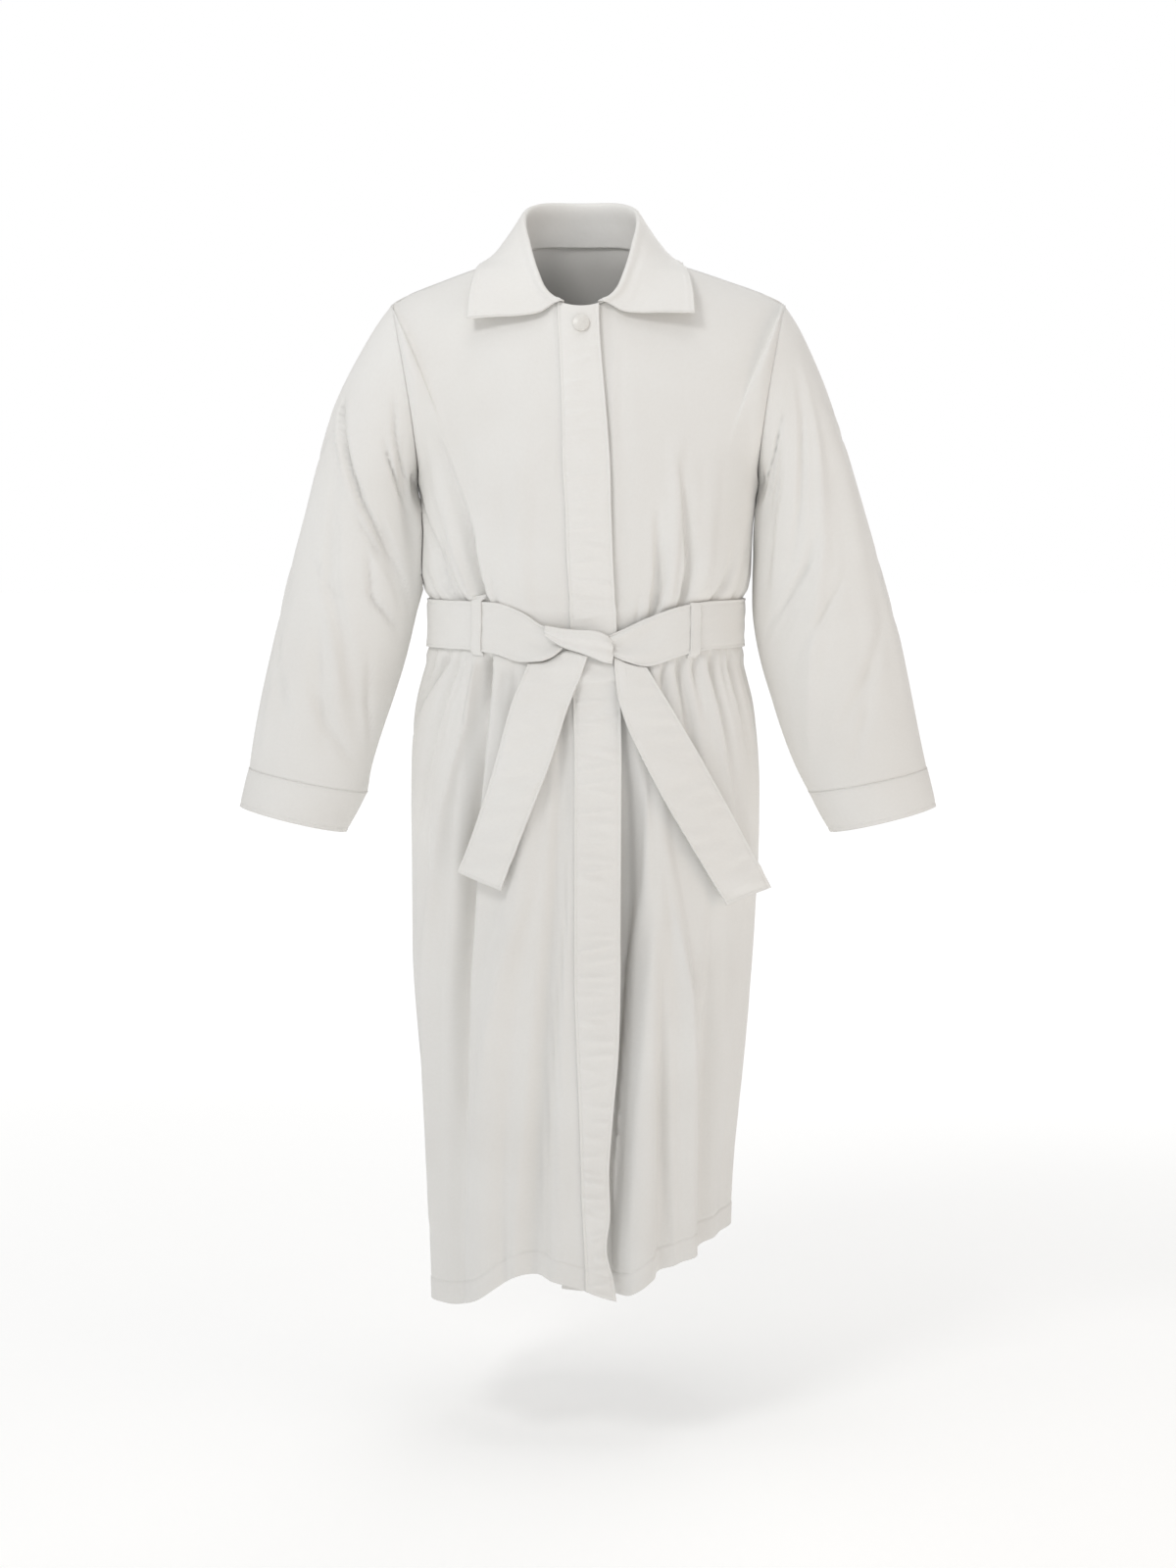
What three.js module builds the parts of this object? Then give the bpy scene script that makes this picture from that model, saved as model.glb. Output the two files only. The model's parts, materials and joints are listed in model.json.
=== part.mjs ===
import * as THREE from 'three';

// Kittel: a long white robe, closed over and belted, worn by nobody. Millimetres, +Z up, front toward -Y.
// The origin is the middle of the neck opening, level with the neck seam at the back.

// ---------------------------------------------------------------- driving sizes
const CLOTH_WALL = 1.5;
const COLLAR_WALL = 2.0;
const COLLAR_ROLL = 2.6;
const COLLAR_COLUMNS = 32;
const BAND_WALL = 1.2;
const CUFF_WALL = 2.4;
const BELT_WALL = 2.5;
const SEAM_GAP = 0.3;

const NECK = { x: -8, y: -8, half: 72, front: 74, back: 66, drop: 78, power: 1.9 };
const ARMHOLE = { z: -172, half: 98, depth: 70, x: 200, lean: 30, power: 1.6 };
const CHEST_RING_Z = -312;
const BELT = { z: -448, width: 56 };
// How far the cloth lies inside the plain form: each layer where the belt presses it, and away from the belt.
const LAYER = { over: { belted: 3.5, free: 1 }, under: { belted: 6, free: 3.6 } };
const BELT_LIFT = 0.8;
const BUTTON = { x: -8, z: -102, radius: 10, thick: 4 };
const LOOP = { angle: 52, width: 12, length: 76, wall: 1.2 };

const CLOTH = new THREE.MeshStandardMaterial({ color: 0xeceae6, roughness: 0.85, metalness: 0 });
const BUTTON_PLASTIC = new THREE.MeshStandardMaterial({ color: 0xf1efeb, roughness: 0.35, metalness: 0 });

// Body rings: half width at the sides, depth to front and back, squareness, shift of the centre.
const RINGS = [
  { z: -1290, side: 176, front: 160, back: 162, power: 2.15, shift: -12 },
  { z: -1123, side: 183, front: 158, back: 158, power: 2.15, shift: -13 },
  { z: -1001, side: 192, front: 155, back: 154, power: 2.15, shift: -11 },
  { z: -881, side: 203, front: 152, back: 150, power: 2.2, shift: -9 },
  { z: -761, side: 209, front: 149, back: 146, power: 2.2, shift: -4 },
  { z: -650, side: 210, front: 143, back: 140, power: 2.2, shift: -3 },
  { z: -560, side: 205, front: 134, back: 128, power: 2.2, shift: -4 },
  { z: -510, side: 194, front: 126, back: 115, power: 2.2, shift: -4 },
  { z: -480, side: 187, front: 122, back: 108, power: 2.2, shift: -3 },
  { z: -425, side: 186, front: 122, back: 108, power: 2.2, shift: -2 },
  { z: -396, side: 191, front: 127, back: 115, power: 2.2, shift: -2 },
  { z: -350, side: 191, front: 130, back: 120, power: 2.2, shift: -1 },
  { z: -312, side: 193, front: 129, back: 121, power: 2.25, shift: 0 },
  { z: -270, side: 199, front: 126, back: 120, power: 2.3, shift: 0 },
];

// Shoulder seam, from the neck out to the sleeve head.
const SHOULDER = [
  { x: 72, y: -8, z: -21 },
  { x: 104, y: -6.4, z: -27 },
  { x: 140, y: -4.6, z: -38 },
  { x: 185, y: -2.3, z: -54 },
  { x: 212, y: -0.9, z: -64 },
  { x: 230, y: 0, z: -74 },
];

// How far the waistline dips by angle round the body, 0 in front.
const WAIST_DIP = [
  { a: 0, dip: 19 }, { a: 18, dip: 19 }, { a: 32, dip: 15 }, { a: 46, dip: 4 }, { a: 62, dip: 0 },
  { a: 180, dip: 0 },
];

// The belt round the waist: upper and lower edge by angle, and how far it stands off at its rolled ends.
const BELT_EDGES = [
  { a: -12, top: -453, low: -474, off: 1.5 }, { a: -17, top: -450, low: -483, off: 1.5 },
  { a: -23, top: -446, low: -488, off: 1 },
  { a: -32, top: -432, low: -489, off: 0.3 }, { a: -45, top: -421, low: -480, off: 0 },
  { a: -60, top: -420, low: -476, off: 0 },
  { a: -80, top: -420, low: -476, off: 0 }, { a: -360, top: -420, low: -476, off: 0 },
];
const BELT_EDGES_LEFT = [
  { a: 11, top: -460, low: -478, off: 1 }, { a: 20, top: -450, low: -488, off: 1 },
  { a: 31, top: -438, low: -494, off: 0.3 },
  { a: 49, top: -424, low: -481, off: 0 }, { a: 62, top: -420, low: -476, off: 0 },
  { a: 80, top: -420, low: -476, off: 0 },
  { a: 360, top: -420, low: -476, off: 0 },
];
// Columns of the belt, as angles from its rolled end on the wearer's right, round the back, to the other end.
const BELT_COLUMNS = [
  -12, -17, -22, -27, -33, -40, -47, -54, -62, -70, -78, -87, -96, -105, -115, -125, -135, -144, -153,
  -162, -171, -180,
  -189, -198, -207, -216, -225, -235, -245, -255, -264, -273, -282, -290, -298, -305, -311, -317, -323,
  -329, -334, -339,
  -344, -349,
];

// The strand that crosses the knot, and the two hanging tails as left and right edge down their length.
const KNOT = [
  { x: -47, top: -446.5, low: -459, off: 4.4 }, { x: -26, top: -450, low: -472, off: 6.6 },
  { x: -10, top: -451.5, low: -477.5, off: 7.6 },
  { x: 4, top: -452, low: -483, off: 8 }, { x: 16, top: -455, low: -488.5, off: 7 },
  { x: 27, top: -463, low: -491, off: 5 },
];
const TAIL_CELLS = 12;
const TAIL_RIGHT = [
  { t: 0, x0: -67, z0: -490, x1: -1, z1: -482.5, off: 3.5 },
  { t: 0.07, x0: -72, z0: -505, x1: -7, z1: -502, off: 6 },
  { t: 0.2, x0: -82, z0: -536, x1: -18, z1: -530, off: 11 },
  { t: 0.45, x0: -100, z0: -608, x1: -40, z1: -603, off: 13 },
  { t: 0.75, x0: -122, z0: -680, x1: -68, z1: -680, off: 13 },
  { t: 1, x0: -140, z0: -732, x1: -93, z1: -750, off: 14 },
];
const TAIL_LEFT = [
  { t: 0, x0: 29, z0: -493, x1: 66, z1: -496.5, off: 3.5 },
  { t: 0.06, x0: 30, z0: -510, x1: 74, z1: -511, off: 6 },
  { t: 0.16, x0: 34, z0: -538, x1: 90, z1: -542, off: 11 },
  { t: 0.4, x0: 68, z0: -622, x1: 127, z1: -612, off: 14 },
  { t: 0.7, x0: 105, z0: -696, x1: 163, z1: -684, off: 14 },
  { t: 0.88, x0: 132, z0: -752, x1: 192, z1: -728, off: 14 },
  { t: 1, x0: 153, z0: -772, x1: 196, z1: -752, off: 15 },
];

// Hem height by angle round the body, 0 in front, positive toward the wearer's left.
const HEM_OVER = [
  { a: -90, z: -1262 }, { a: -61, z: -1256 }, { a: -48, z: -1246 }, { a: -40, z: -1236 },
  { a: -33, z: -1219 }, { a: -24, z: -1205 }, { a: -12, z: -1206 }, { a: 0, z: -1216 },
  { a: 8, z: -1225 }, { a: 16, z: -1233 },
];
const HEM_UNDER = [
  { a: -16, z: -1222 }, { a: 8, z: -1228 }, { a: 19, z: -1230 }, { a: 24, z: -1223 }, { a: 30, z: -1212 },
  { a: 37, z: -1205 }, { a: 45, z: -1197 }, { a: 55, z: -1187 }, { a: 70, z: -1177 }, { a: 90, z: -1166 },
];
const HEM_BACK = [
  { a: 90, z: -1166 }, { a: 110, z: -1182 }, { a: 135, z: -1205 }, { a: 160, z: -1222 },
  { a: 180, z: -1226 },
  { a: 200, z: -1238 }, { a: 225, z: -1240 }, { a: 250, z: -1254 }, { a: 270, z: -1262 },
];

// The strip down the closing: free edge and sewn inner line, as x at each height.
const PLACKET = [
  { z: -1290, edge: 34, inner: -4 }, { z: -1222, edge: 33, inner: -3 }, { z: -1172, edge: 22, inner: -5 },
  { z: -1106, edge: 27, inner: -8 }, { z: -1060, edge: 24, inner: -9 }, { z: -975, edge: 33, inner: -12 },
  { z: -850, edge: 38, inner: -16 }, { z: -583, edge: 38, inner: -16 }, { z: -442, edge: 34, inner: -20 },
  { z: -300, edge: 26, inner: -27 }, { z: -176, edge: 17.5, inner: -32 },
  { z: -136, edge: 15.5, inner: -34 },
  { z: -78, edge: 12.5, inner: -35 },
];

// Columns of each front from the closing to the side seam: angle at the waist, place along the top edge.
// top 0..1 runs along the neck, 1..2 along the shoulder, 2..3 down the armhole.
const FRONT_COLUMNS = [
  { a: 21, top: 0.36 }, { a: 25, top: 0.52 }, { a: 29, top: 0.68 }, { a: 32, top: 0.84 }, { a: 35, top: 1 },
  { a: 38, top: 1.12 }, { a: 41, top: 1.24 }, { a: 44, top: 1.36 }, { a: 47, top: 1.48 },
  { a: 50, top: 1.6 },
  { a: 53, top: 1.72 }, { a: 56, top: 1.85 }, { a: 59, top: 2 }, { a: 62, top: 2.1 }, { a: 65, top: 2.2 },
  { a: 68, top: 2.3 }, { a: 71, top: 2.4 }, { a: 74.5, top: 2.52 }, { a: 78, top: 2.65 },
  { a: 82, top: 2.77 },
  { a: 86, top: 2.89 }, { a: 90, top: 3 },
];
const UNDER_EDGE_X = -36;
const COVERED_CELLS = 7;
const PLACKET_CELLS = 4;
const BACK_COLUMNS = [
  { a: 90, top: 3 }, { a: 94.5, top: 2.88 }, { a: 99, top: 2.75 }, { a: 103.5, top: 2.62 },
  { a: 108, top: 2.5 }, { a: 112, top: 2.38 },
  { a: 116, top: 2.26 }, { a: 120.5, top: 2.13 }, { a: 125, top: 2 }, { a: 130, top: 1.8 },
  { a: 135, top: 1.6 },
  { a: 140, top: 1.4 }, { a: 145, top: 1.2 }, { a: 150, top: 1 }, { a: 155, top: 0.84 },
  { a: 160, top: 0.68 },
  { a: 165, top: 0.51 }, { a: 170, top: 0.34 }, { a: 175, top: 0.17 }, { a: 180, top: 0 },
];
// Rows: steps of the yoke above the chest ring, then heights down to the hem.
const YOKE_STEPS = [1, 0.92, 0.82, 0.71, 0.59, 0.46, 0.32, 0.16];
const BODY_ROWS = [
  -312, -338, -364, -387, -404, -420, -448, -476, -492, -512, -542, -582, -634, -700, -775, -855, -935,
  -1010, -1075, -1130, -1172, -1205, -1230,
];

// Folds of the body: three stations each of height, angle, half width (mm) and rise (negative is a trough).
const BODY_FOLDS = [
  { z: [-424, -345, -232], a: [-50, -55, -66], w: [10, 12, 14], h: [-7, -6, -2] },
  { z: [-424, -360, -285], a: [-61, -70, -88], w: [10, 12, 12], h: [-6, -5, -2] },
  { z: [-420, -340, -230], a: [-57, -62, -74], w: [9, 12, 16], h: [2, 4, 2] },
  { z: [-420, -340, -200], a: [-30, -32, -34], w: [16, 20, 24], h: [2, 4, 1] },
  { z: [-424, -370, -310], a: [35, 36, 34], w: [9, 10, 10], h: [-7, -6, -1] },
  { z: [-424, -360, -228], a: [41, 41, 42], w: [9, 10, 14], h: [3, 5, 2] },
  { z: [-424, -371, -250], a: [48, 49, 44], w: [9, 10, 12], h: [-7, -5, -1] },
  { z: [-424, -371, -250], a: [54, 55, 56], w: [9, 12, 14], h: [2, 4, 1] },
  { z: [-424, -400, -345], a: [61, 65, 70], w: [9, 10, 11], h: [-6, -5, -1] },
  { z: [-424, -395, -340], a: [73, 76, 80], w: [9, 10, 11], h: [-5, -4, -1] },
  { z: [-486, -660, -1290], a: [-56, -61, -72], w: [11, 18, 28], h: [3, 8, 8] },
  { z: [-484, -745, -1290], a: [-48, -50, -56], w: [9, 15, 22], h: [-8, -13, -7] },
  { z: [-484, -530, -590], a: [-66, -76, -90], w: [9, 11, 12], h: [-7, -5, -1] },
  { z: [-484, -600, -720], a: [-62, -69, -78], w: [8, 12, 14], h: [-5, -5, -1] },
  { z: [-484, -560, -650], a: [-76, -80, -84], w: [9, 12, 14], h: [-6, -5, -1] },
  { z: [-484, -560, -660], a: [-36, -34, -31], w: [9, 12, 12], h: [-6, -5, -1] },
  { z: [-560, -900, -1290], a: [-20, -36, -42], w: [14, 27, 34], h: [2, 12, 12] },
  { z: [-520, -870, -1290], a: [-11, -14, -20], w: [8, 17, 30], h: [-3, -13, -20] },
  { z: [-700, -960, -1290], a: [-82, -84, -86], w: [16, 24, 26], h: [-2, -7, -8] },
  { z: [-484, -545, -640], a: [32, 32, 31], w: [8, 9, 9], h: [-11, -7, -1] },
  { z: [-484, -545, -610], a: [40, 39, 38], w: [8, 9, 9], h: [-9, -6, -1] },
  { z: [-484, -560, -640], a: [47, 46, 45], w: [8, 9, 9], h: [-9, -7, -1] },
  { z: [-484, -560, -640], a: [53.5, 53.5, 53], w: [8, 9, 9], h: [-8, -6, -1] },
  { z: [-484, -560, -650], a: [61, 61, 61], w: [8, 10, 10], h: [-8, -6, -1] },
  { z: [-484, -545, -620], a: [71, 73, 75], w: [9, 10, 10], h: [-7, -5, -1] },
  { z: [-484, -545, -620], a: [81, 83, 85], w: [9, 10, 10], h: [-6, -4, -1] },
  { z: [-486, -580, -720], a: [57, 61, 66], w: [9, 12, 14], h: [2, 5, 1] },
  { z: [-700, -870, -1290], a: [35, 45, 52], w: [10, 12, 16], h: [2, 9, 8] },
  { z: [-740, -909, -1290], a: [55, 57, 60], w: [16, 20, 24], h: [-2, -10, -12] },
  { z: [-600, -854, -1290], a: [27, 24, 18], w: [10, 13, 18], h: [2, 9, 16] },
  { z: [-800, -1065, -1290], a: [33, 37, 38], w: [12, 14, 18], h: [-2, -8, -10] },
  { z: [-700, -960, -1290], a: [75, 78, 80], w: [18, 24, 26], h: [2, 8, 9] },
  { z: [-424, -360, -240], a: [112, 116, 122], w: [12, 14, 16], h: [-6, -5, -2] },
  { z: [-424, -370, -290], a: [132, 134, 138], w: [12, 13, 14], h: [-6, -5, -1] },
  { z: [-424, -350, -240], a: [154, 157, 160], w: [12, 14, 16], h: [-6, -5, -1] },
  { z: [-424, -370, -280], a: [184, 183, 181], w: [12, 13, 14], h: [-5, -5, -1] },
  { z: [-424, -360, -250], a: [207, 205, 203], w: [12, 14, 16], h: [-6, -5, -1] },
  { z: [-424, -370, -290], a: [230, 228, 224], w: [12, 13, 14], h: [-6, -4, -1] },
  { z: [-424, -360, -240], a: [250, 247, 241], w: [12, 14, 16], h: [-6, -5, -2] },
  { z: [-484, -560, -680], a: [101, 102, 104], w: [11, 13, 14], h: [-8, -6, -1] },
  { z: [-484, -580, -760], a: [122, 124, 127], w: [11, 13, 15], h: [-9, -8, -2] },
  { z: [-484, -560, -660], a: [140, 141, 143], w: [11, 12, 13], h: [-8, -6, -1] },
  { z: [-484, -600, -820], a: [160, 161, 163], w: [11, 14, 16], h: [-9, -9, -2] },
  { z: [-484, -560, -640], a: [178, 178, 179], w: [11, 12, 13], h: [-7, -6, -1] },
  { z: [-484, -600, -800], a: [199, 198, 196], w: [11, 14, 16], h: [-9, -8, -2] },
  { z: [-484, -560, -660], a: [217, 216, 214], w: [11, 12, 13], h: [-8, -6, -1] },
  { z: [-484, -590, -760], a: [238, 236, 233], w: [11, 13, 15], h: [-9, -8, -2] },
  { z: [-484, -560, -680], a: [258, 257, 255], w: [11, 13, 14], h: [-8, -6, -1] },
  { z: [-620, -900, -1290], a: [112, 110, 108], w: [18, 26, 30], h: [2, 9, 11] },
  { z: [-640, -930, -1290], a: [131, 130, 129], w: [16, 24, 28], h: [-2, -10, -13] },
  { z: [-620, -900, -1290], a: [150, 149, 148], w: [18, 26, 30], h: [2, 10, 13] },
  { z: [-660, -940, -1290], a: [169, 170, 171], w: [16, 26, 30], h: [-2, -11, -14] },
  { z: [-620, -900, -1290], a: [190, 191, 192], w: [18, 26, 30], h: [2, 10, 13] },
  { z: [-640, -930, -1290], a: [211, 212, 213], w: [16, 26, 30], h: [-2, -10, -13] },
  { z: [-620, -900, -1290], a: [232, 234, 236], w: [18, 26, 30], h: [2, 9, 12] },
  { z: [-660, -940, -1290], a: [252, 253, 254], w: [16, 22, 26], h: [-2, -7, -9] },
];

// The deep fold beside the closing: where its outer lip runs and how far the cloth goes in.
const DEEP_FOLD = [
  { z: -1290, lip: 19, depth: 42 }, { z: -1172, lip: 18, depth: 42 }, { z: -1075, lip: 20, depth: 42 },
  { z: -923, lip: 24, depth: 41 }, { z: -809, lip: 27.5, depth: 36 }, { z: -741, lip: 28, depth: 27 },
  { z: -662, lip: 27, depth: 18 }, { z: -600, lip: 24, depth: 8 }, { z: -539, lip: 22, depth: 3 },
  { z: -480, lip: 22, depth: 0 }, { z: -60, lip: 22, depth: 0 },
];

// Sleeve sections for the wearer's left sleeve: outer and inner point, half depth, middle.
const SLEEVE = [
  { ox: 230.6, oz: -74.2, ix: 200.8, iz: -270.2, depth: 70, y: 0 },
  { ox: 248, oz: -99, ix: 201.6, iz: -281, depth: 69.5, y: -1 },
  { ox: 272, oz: -145, ix: 202, iz: -294, depth: 68, y: -2 },
  { ox: 297, oz: -200, ix: 200.5, iz: -311, depth: 66, y: -4 },
  { ox: 317, oz: -265, ix: 197.5, iz: -336, depth: 64, y: -6 },
  { ox: 336, oz: -335, ix: 195.5, iz: -376, depth: 62, y: -9 },
  { ox: 354, oz: -400, ix: 199, iz: -436, depth: 60, y: -12 },
  { ox: 370, oz: -460, ix: 210, iz: -490, depth: 58, y: -15 },
  { ox: 383, oz: -520, ix: 227, iz: -546, depth: 55, y: -19 },
  { ox: 394, oz: -575, ix: 246, iz: -602, depth: 52, y: -23 },
  { ox: 403, oz: -621, ix: 263, iz: -650, depth: 49, y: -26 },
];
const SLEEVE_STEPS = [
  0, 0.4, 1, 1.7, 2.4, 3, 3.6, 4.2, 4.8, 5.4, 6, 6.6, 7.2, 7.8, 8.5, 9.3, 10,
];
const CUFF = [
  { ox: 403.5, oz: -621.3, ix: 263, iz: -650.4, depth: 49.4, y: -26 },
  { ox: 409, oz: -643, ix: 275, iz: -673, depth: 46, y: -28 },
  { ox: 414, oz: -665, ix: 288, iz: -696, depth: 43, y: -30 },
];
// Sleeve folds: three stations each of length (0 head, 1 cuff), angle from the outer side over the front,
// half width and rise.
const SLEEVE_FOLDS_RIGHT = [
  { t: [0.1, 0.3, 0.5], a: [118, 138, 150], w: [12, 14, 14], h: [-2, -7, -2] },
  { t: [0.42, 0.5, 0.6], a: [100, 120, 146], w: [9, 11, 11], h: [-2, -7, -2] },
  { t: [0.38, 0.58, 0.86], a: [52, 72, 132], w: [8, 10, 10], h: [-2, -7, -2] },
  { t: [0.52, 0.68, 0.86], a: [60, 82, 112], w: [9, 12, 10], h: [1, 5, 1] },
  { t: [0.76, 0.86, 0.94], a: [70, 104, 140], w: [9, 11, 10], h: [-2, -6, -2] },
  { t: [0.7, 0.78, 0.86], a: [24, 40, 62], w: [9, 11, 10], h: [-2, -7, -2] },
  { t: [0.3, 0.55, 0.8], a: [250, 235, 215], w: [12, 16, 14], h: [-2, -7, -2] },
  { t: [0.5, 0.66, 0.82], a: [310, 290, 268], w: [10, 12, 11], h: [-2, -6, -2] },
];
const SLEEVE_FOLDS_LEFT = [
  { t: [0.1, 0.32, 0.6], a: [100, 140, 150], w: [12, 14, 14], h: [-2, -8, -2] },
  { t: [0.12, 0.4, 0.78], a: [46, 40, 60], w: [14, 18, 16], h: [1, 5, 2] },
  { t: [0.46, 0.56, 0.68], a: [80, 104, 140], w: [9, 11, 11], h: [-2, -6, -2] },
  { t: [0.66, 0.76, 0.86], a: [40, 64, 100], w: [9, 11, 11], h: [-2, -6, -2] },
  { t: [0.3, 0.55, 0.8], a: [246, 232, 212], w: [12, 16, 14], h: [-2, -7, -2] },
  { t: [0.5, 0.66, 0.82], a: [306, 288, 266], w: [10, 12, 11], h: [-2, -6, -2] },
];

// Collar, from the front end round to the back: angle round the neck, stand height, outer edge of the leaf.
const COLLAR = [
  { psi: 19, stand: 4.5, ex: 131, ey: -84, ez: -90 },
  { psi: 27, stand: 5, ex: 130, ey: -70, ez: -70 },
  { psi: 38, stand: 9, ex: 127, ey: -50, ez: -50 },
  { psi: 51, stand: 21, ex: 122, ey: -26, ez: -35 },
  { psi: 71, stand: 40, ex: 115, ey: 8, ez: -28 },
  { psi: 92, stand: 45, ex: 104, ey: 40, ez: -26 },
  { psi: 118, stand: 45, ex: 82, ey: 72, ez: -30 },
  { psi: 148, stand: 46, ex: 46, ey: 92, ez: -34 },
  { psi: 180, stand: 46, ex: 0, ey: 99, ez: -35 },
];

// ---------------------------------------------------------------- helpers
const rad = (degrees) => (degrees * Math.PI) / 180;
const deg = (radians) => (radians * 180) / Math.PI;
const mix = (a, b, t) => a + (b - a) * t;
const clamp = (v, low, high) => Math.min(high, Math.max(low, v));
const smooth = (t) => {
  const c = clamp(t, 0, 1);
  return c * c * (3 - 2 * c);
};
const vec = (x, y, z) => new THREE.Vector3(x, y, z);

// Cubic between two values, with their slopes.
function hermite(y0, m0, y1, m1, t) {
  const t2 = t * t;
  const t3 = t2 * t;
  const rest = (3 * t2 - 2 * t3) * (y1 - y0);
  return y0 + rest + (t3 - 2 * t2 + t) * m0 + (t3 - t2) * m1;
}

// Smooth read of one column of a table at a key, without overshoot between its rows.
function read(table, key, value, column) {
  const rows = table[0][key] <= table[table.length - 1][key] ? table : [...table].reverse();
  const last = rows.length - 1;
  if (value <= rows[0][key]) return rows[0][column];
  if (value >= rows[last][key]) return rows[last][column];
  let i = 0;
  while (rows[i + 1][key] < value) i++;
  const slopeAt = (k) => (rows[k + 1][column] - rows[k][column]) / (rows[k + 1][key] - rows[k][key]);
  const step = rows[i + 1][key] - rows[i][key];
  const slope = slopeAt(i);
  const before = i > 0 ? slopeAt(i - 1) : slope;
  const after = i < last - 1 ? slopeAt(i + 1) : slope;
  const eased = (a, b) => (a * b > 0 ? (2 * a * b) / (a + b) : 0);
  const t = (value - rows[i][key]) / step;
  const m0 = eased(before, slope) * step;
  const m1 = eased(after, slope) * step;
  return hermite(rows[i][column], m0, rows[i + 1][column], m1, t);
}

// Value between three stations, at 0, 0.5 and 1.
function between3(list, t) {
  return t < 0.5 ? mix(list[0], list[1], t * 2) : mix(list[1], list[2], t * 2 - 1);
}

// ---------------------------------------------------------------- plain body form
function beltSag(angle) {
  const a = Math.abs(((angle + 540) % 360) - 180);
  return -read(WAIST_DIP, 'a', a, 'dip');
}

function reach(angle, z) {
  const s = Math.abs(Math.sin(rad(angle)));
  const c = Math.cos(rad(angle));
  const power = read(RINGS, 'z', z, 'power');
  const depth = read(RINGS, 'z', z, c > 0 ? 'front' : 'back');
  return ((s / read(RINGS, 'z', z, 'side')) ** power + (Math.abs(c) / depth) ** power) ** (-1 / power);
}

function onForm(angle, z, lift) {
  const r = reach(angle, z) + lift;
  return vec(read(RINGS, 'z', z, 'shift') + r * Math.sin(rad(angle)), -r * Math.cos(rad(angle)), z);
}

// Angle of the point of the front that has a given x at a height.
function angleOfX(x, z) {
  let angle = 0;
  for (let k = 0; k < 12; k++) {
    angle = deg(Math.asin(clamp((x - read(RINGS, 'z', z, 'shift')) / reach(angle, z), -0.95, 0.95)));
  }
  return angle;
}

// A point of the front given by x and z, whose distance out is read at another level.
function onFront(x, z, level, lift) {
  const p = onForm(angleOfX(x, level), level, lift);
  p.z = z;
  return p;
}

const HEM_LEVEL = BODY_ROWS[BODY_ROWS.length - 1];
const FOLD_RADIUS = 165;
const FOLD_END = 14;

// Rise of the body folds at an angle and height. A fold whose last station is below the hem runs out of it.
function foldRise(angle, z) {
  let sum = 0;
  for (const fold of BODY_FOLDS) {
    const [top, middle, low] = fold.z;
    if (z > top + FOLD_END || z < low - FOLD_END) continue;
    const upper = z > middle;
    const [from, to] = upper ? [top, middle] : [middle, low];
    const t = clamp((upper ? 0 : 0.5) + (0.5 * (from - z)) / (from - to), 0, 1);
    const turn = ((angle - between3(fold.a, t) + 540) % 360) - 180;
    const across = (rad(turn) * FOLD_RADIUS) / between3(fold.w, t);
    if (Math.abs(across) >= 1) continue;
    const start = smooth((top + FOLD_END - z) / (2 * FOLD_END));
    const end = low < HEM_LEVEL ? 1 : smooth((z - low + FOLD_END) / (2 * FOLD_END));
    sum += between3(fold.h, t) * (1 - across * across) ** 2 * start * end;
  }
  return sum;
}

// How hard the belt presses at a level, 1 under it and 0 away from it.
function pressed(level) {
  const half = BELT.width / 2;
  return 1 - smooth((Math.abs(level - BELT.z) - half + 4) / (half - 2));
}

function clothAt(angle, z, layer, level) {
  const press = pressed(level);
  const rise = foldRise(angle, level);
  return onForm(angle, z, mix(rise, Math.min(rise, 0), press) - mix(layer.free, layer.belted, press));
}

// Height of a row of the body at an angle: it dips with the belt and ends along the hem.
function rowHeight(row, angle, hem) {
  const above = BELT.z + 80;
  const below = BELT.z - 60;
  const sag = beltSag(angle);
  if (row > above) return row + sag * (1 - smooth((row - above) / 60));
  if (row > below) return row + sag;
  return mix(below + sag, hem, (below - row) / (below - HEM_LEVEL));
}

// ---------------------------------------------------------------- edges of the yoke
function neckPoint(psi) {
  const c = Math.cos(rad(psi));
  return vec(
    NECK.x + NECK.half * Math.sin(rad(psi)),
    NECK.y - (c > 0 ? NECK.front : NECK.back) * c,
    -NECK.drop * ((1 + c) / 2) ** NECK.power,
  );
}

const neckPsiOfX = (x) => deg(Math.asin((x - NECK.x) / NECK.half));

function shoulderPoint(side, t) {
  const first = SHOULDER[0].x;
  const tip = SHOULDER[SHOULDER.length - 1].x;
  const along = mix(first, tip, t);
  const x = mix(first + side * NECK.x, tip, t);
  return vec(side * x, read(SHOULDER, 'x', along, 'y'), read(SHOULDER, 'x', along, 'z'));
}

// Face is -1 in front and 1 behind; t runs from the shoulder tip to the armpit.
function armholePoint(side, face, t) {
  const phi = Math.PI * t;
  return vec(
    side * (ARMHOLE.x + ARMHOLE.lean * ((1 + Math.cos(phi)) / 2) ** ARMHOLE.power),
    face * ARMHOLE.depth * Math.sin(phi),
    ARMHOLE.z + ARMHOLE.half * Math.cos(phi),
  );
}

const NECK_WAY = vec(0, 0.42, 1).normalize();

// Point on the top edge of a half panel, and the way the cloth arrives there.
function topEdge(side, face, top) {
  if (top <= 1) {
    const psi = face < 0 ? 90 * top : 180 - 90 * top;
    const up = vec(0, -face * mix(0.42, 0.8, top), mix(1, 0.5, top));
    return [neckPoint(side * psi), up.normalize()];
  }
  if (top <= 2) {
    const over = vec(0, -face, mix(0.45, 0.3, top - 1));
    return [shoulderPoint(side, top - 1), over.normalize()];
  }
  const phi = Math.PI * (top - 2);
  const back = (-face * (1 + Math.cos(phi))) / 2;
  const way = vec(0.5 * side * Math.sin(phi), back, 0.18 + 0.82 * Math.sin(phi / 2));
  return [armholePoint(side, face, top - 2), way.normalize()];
}

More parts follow.
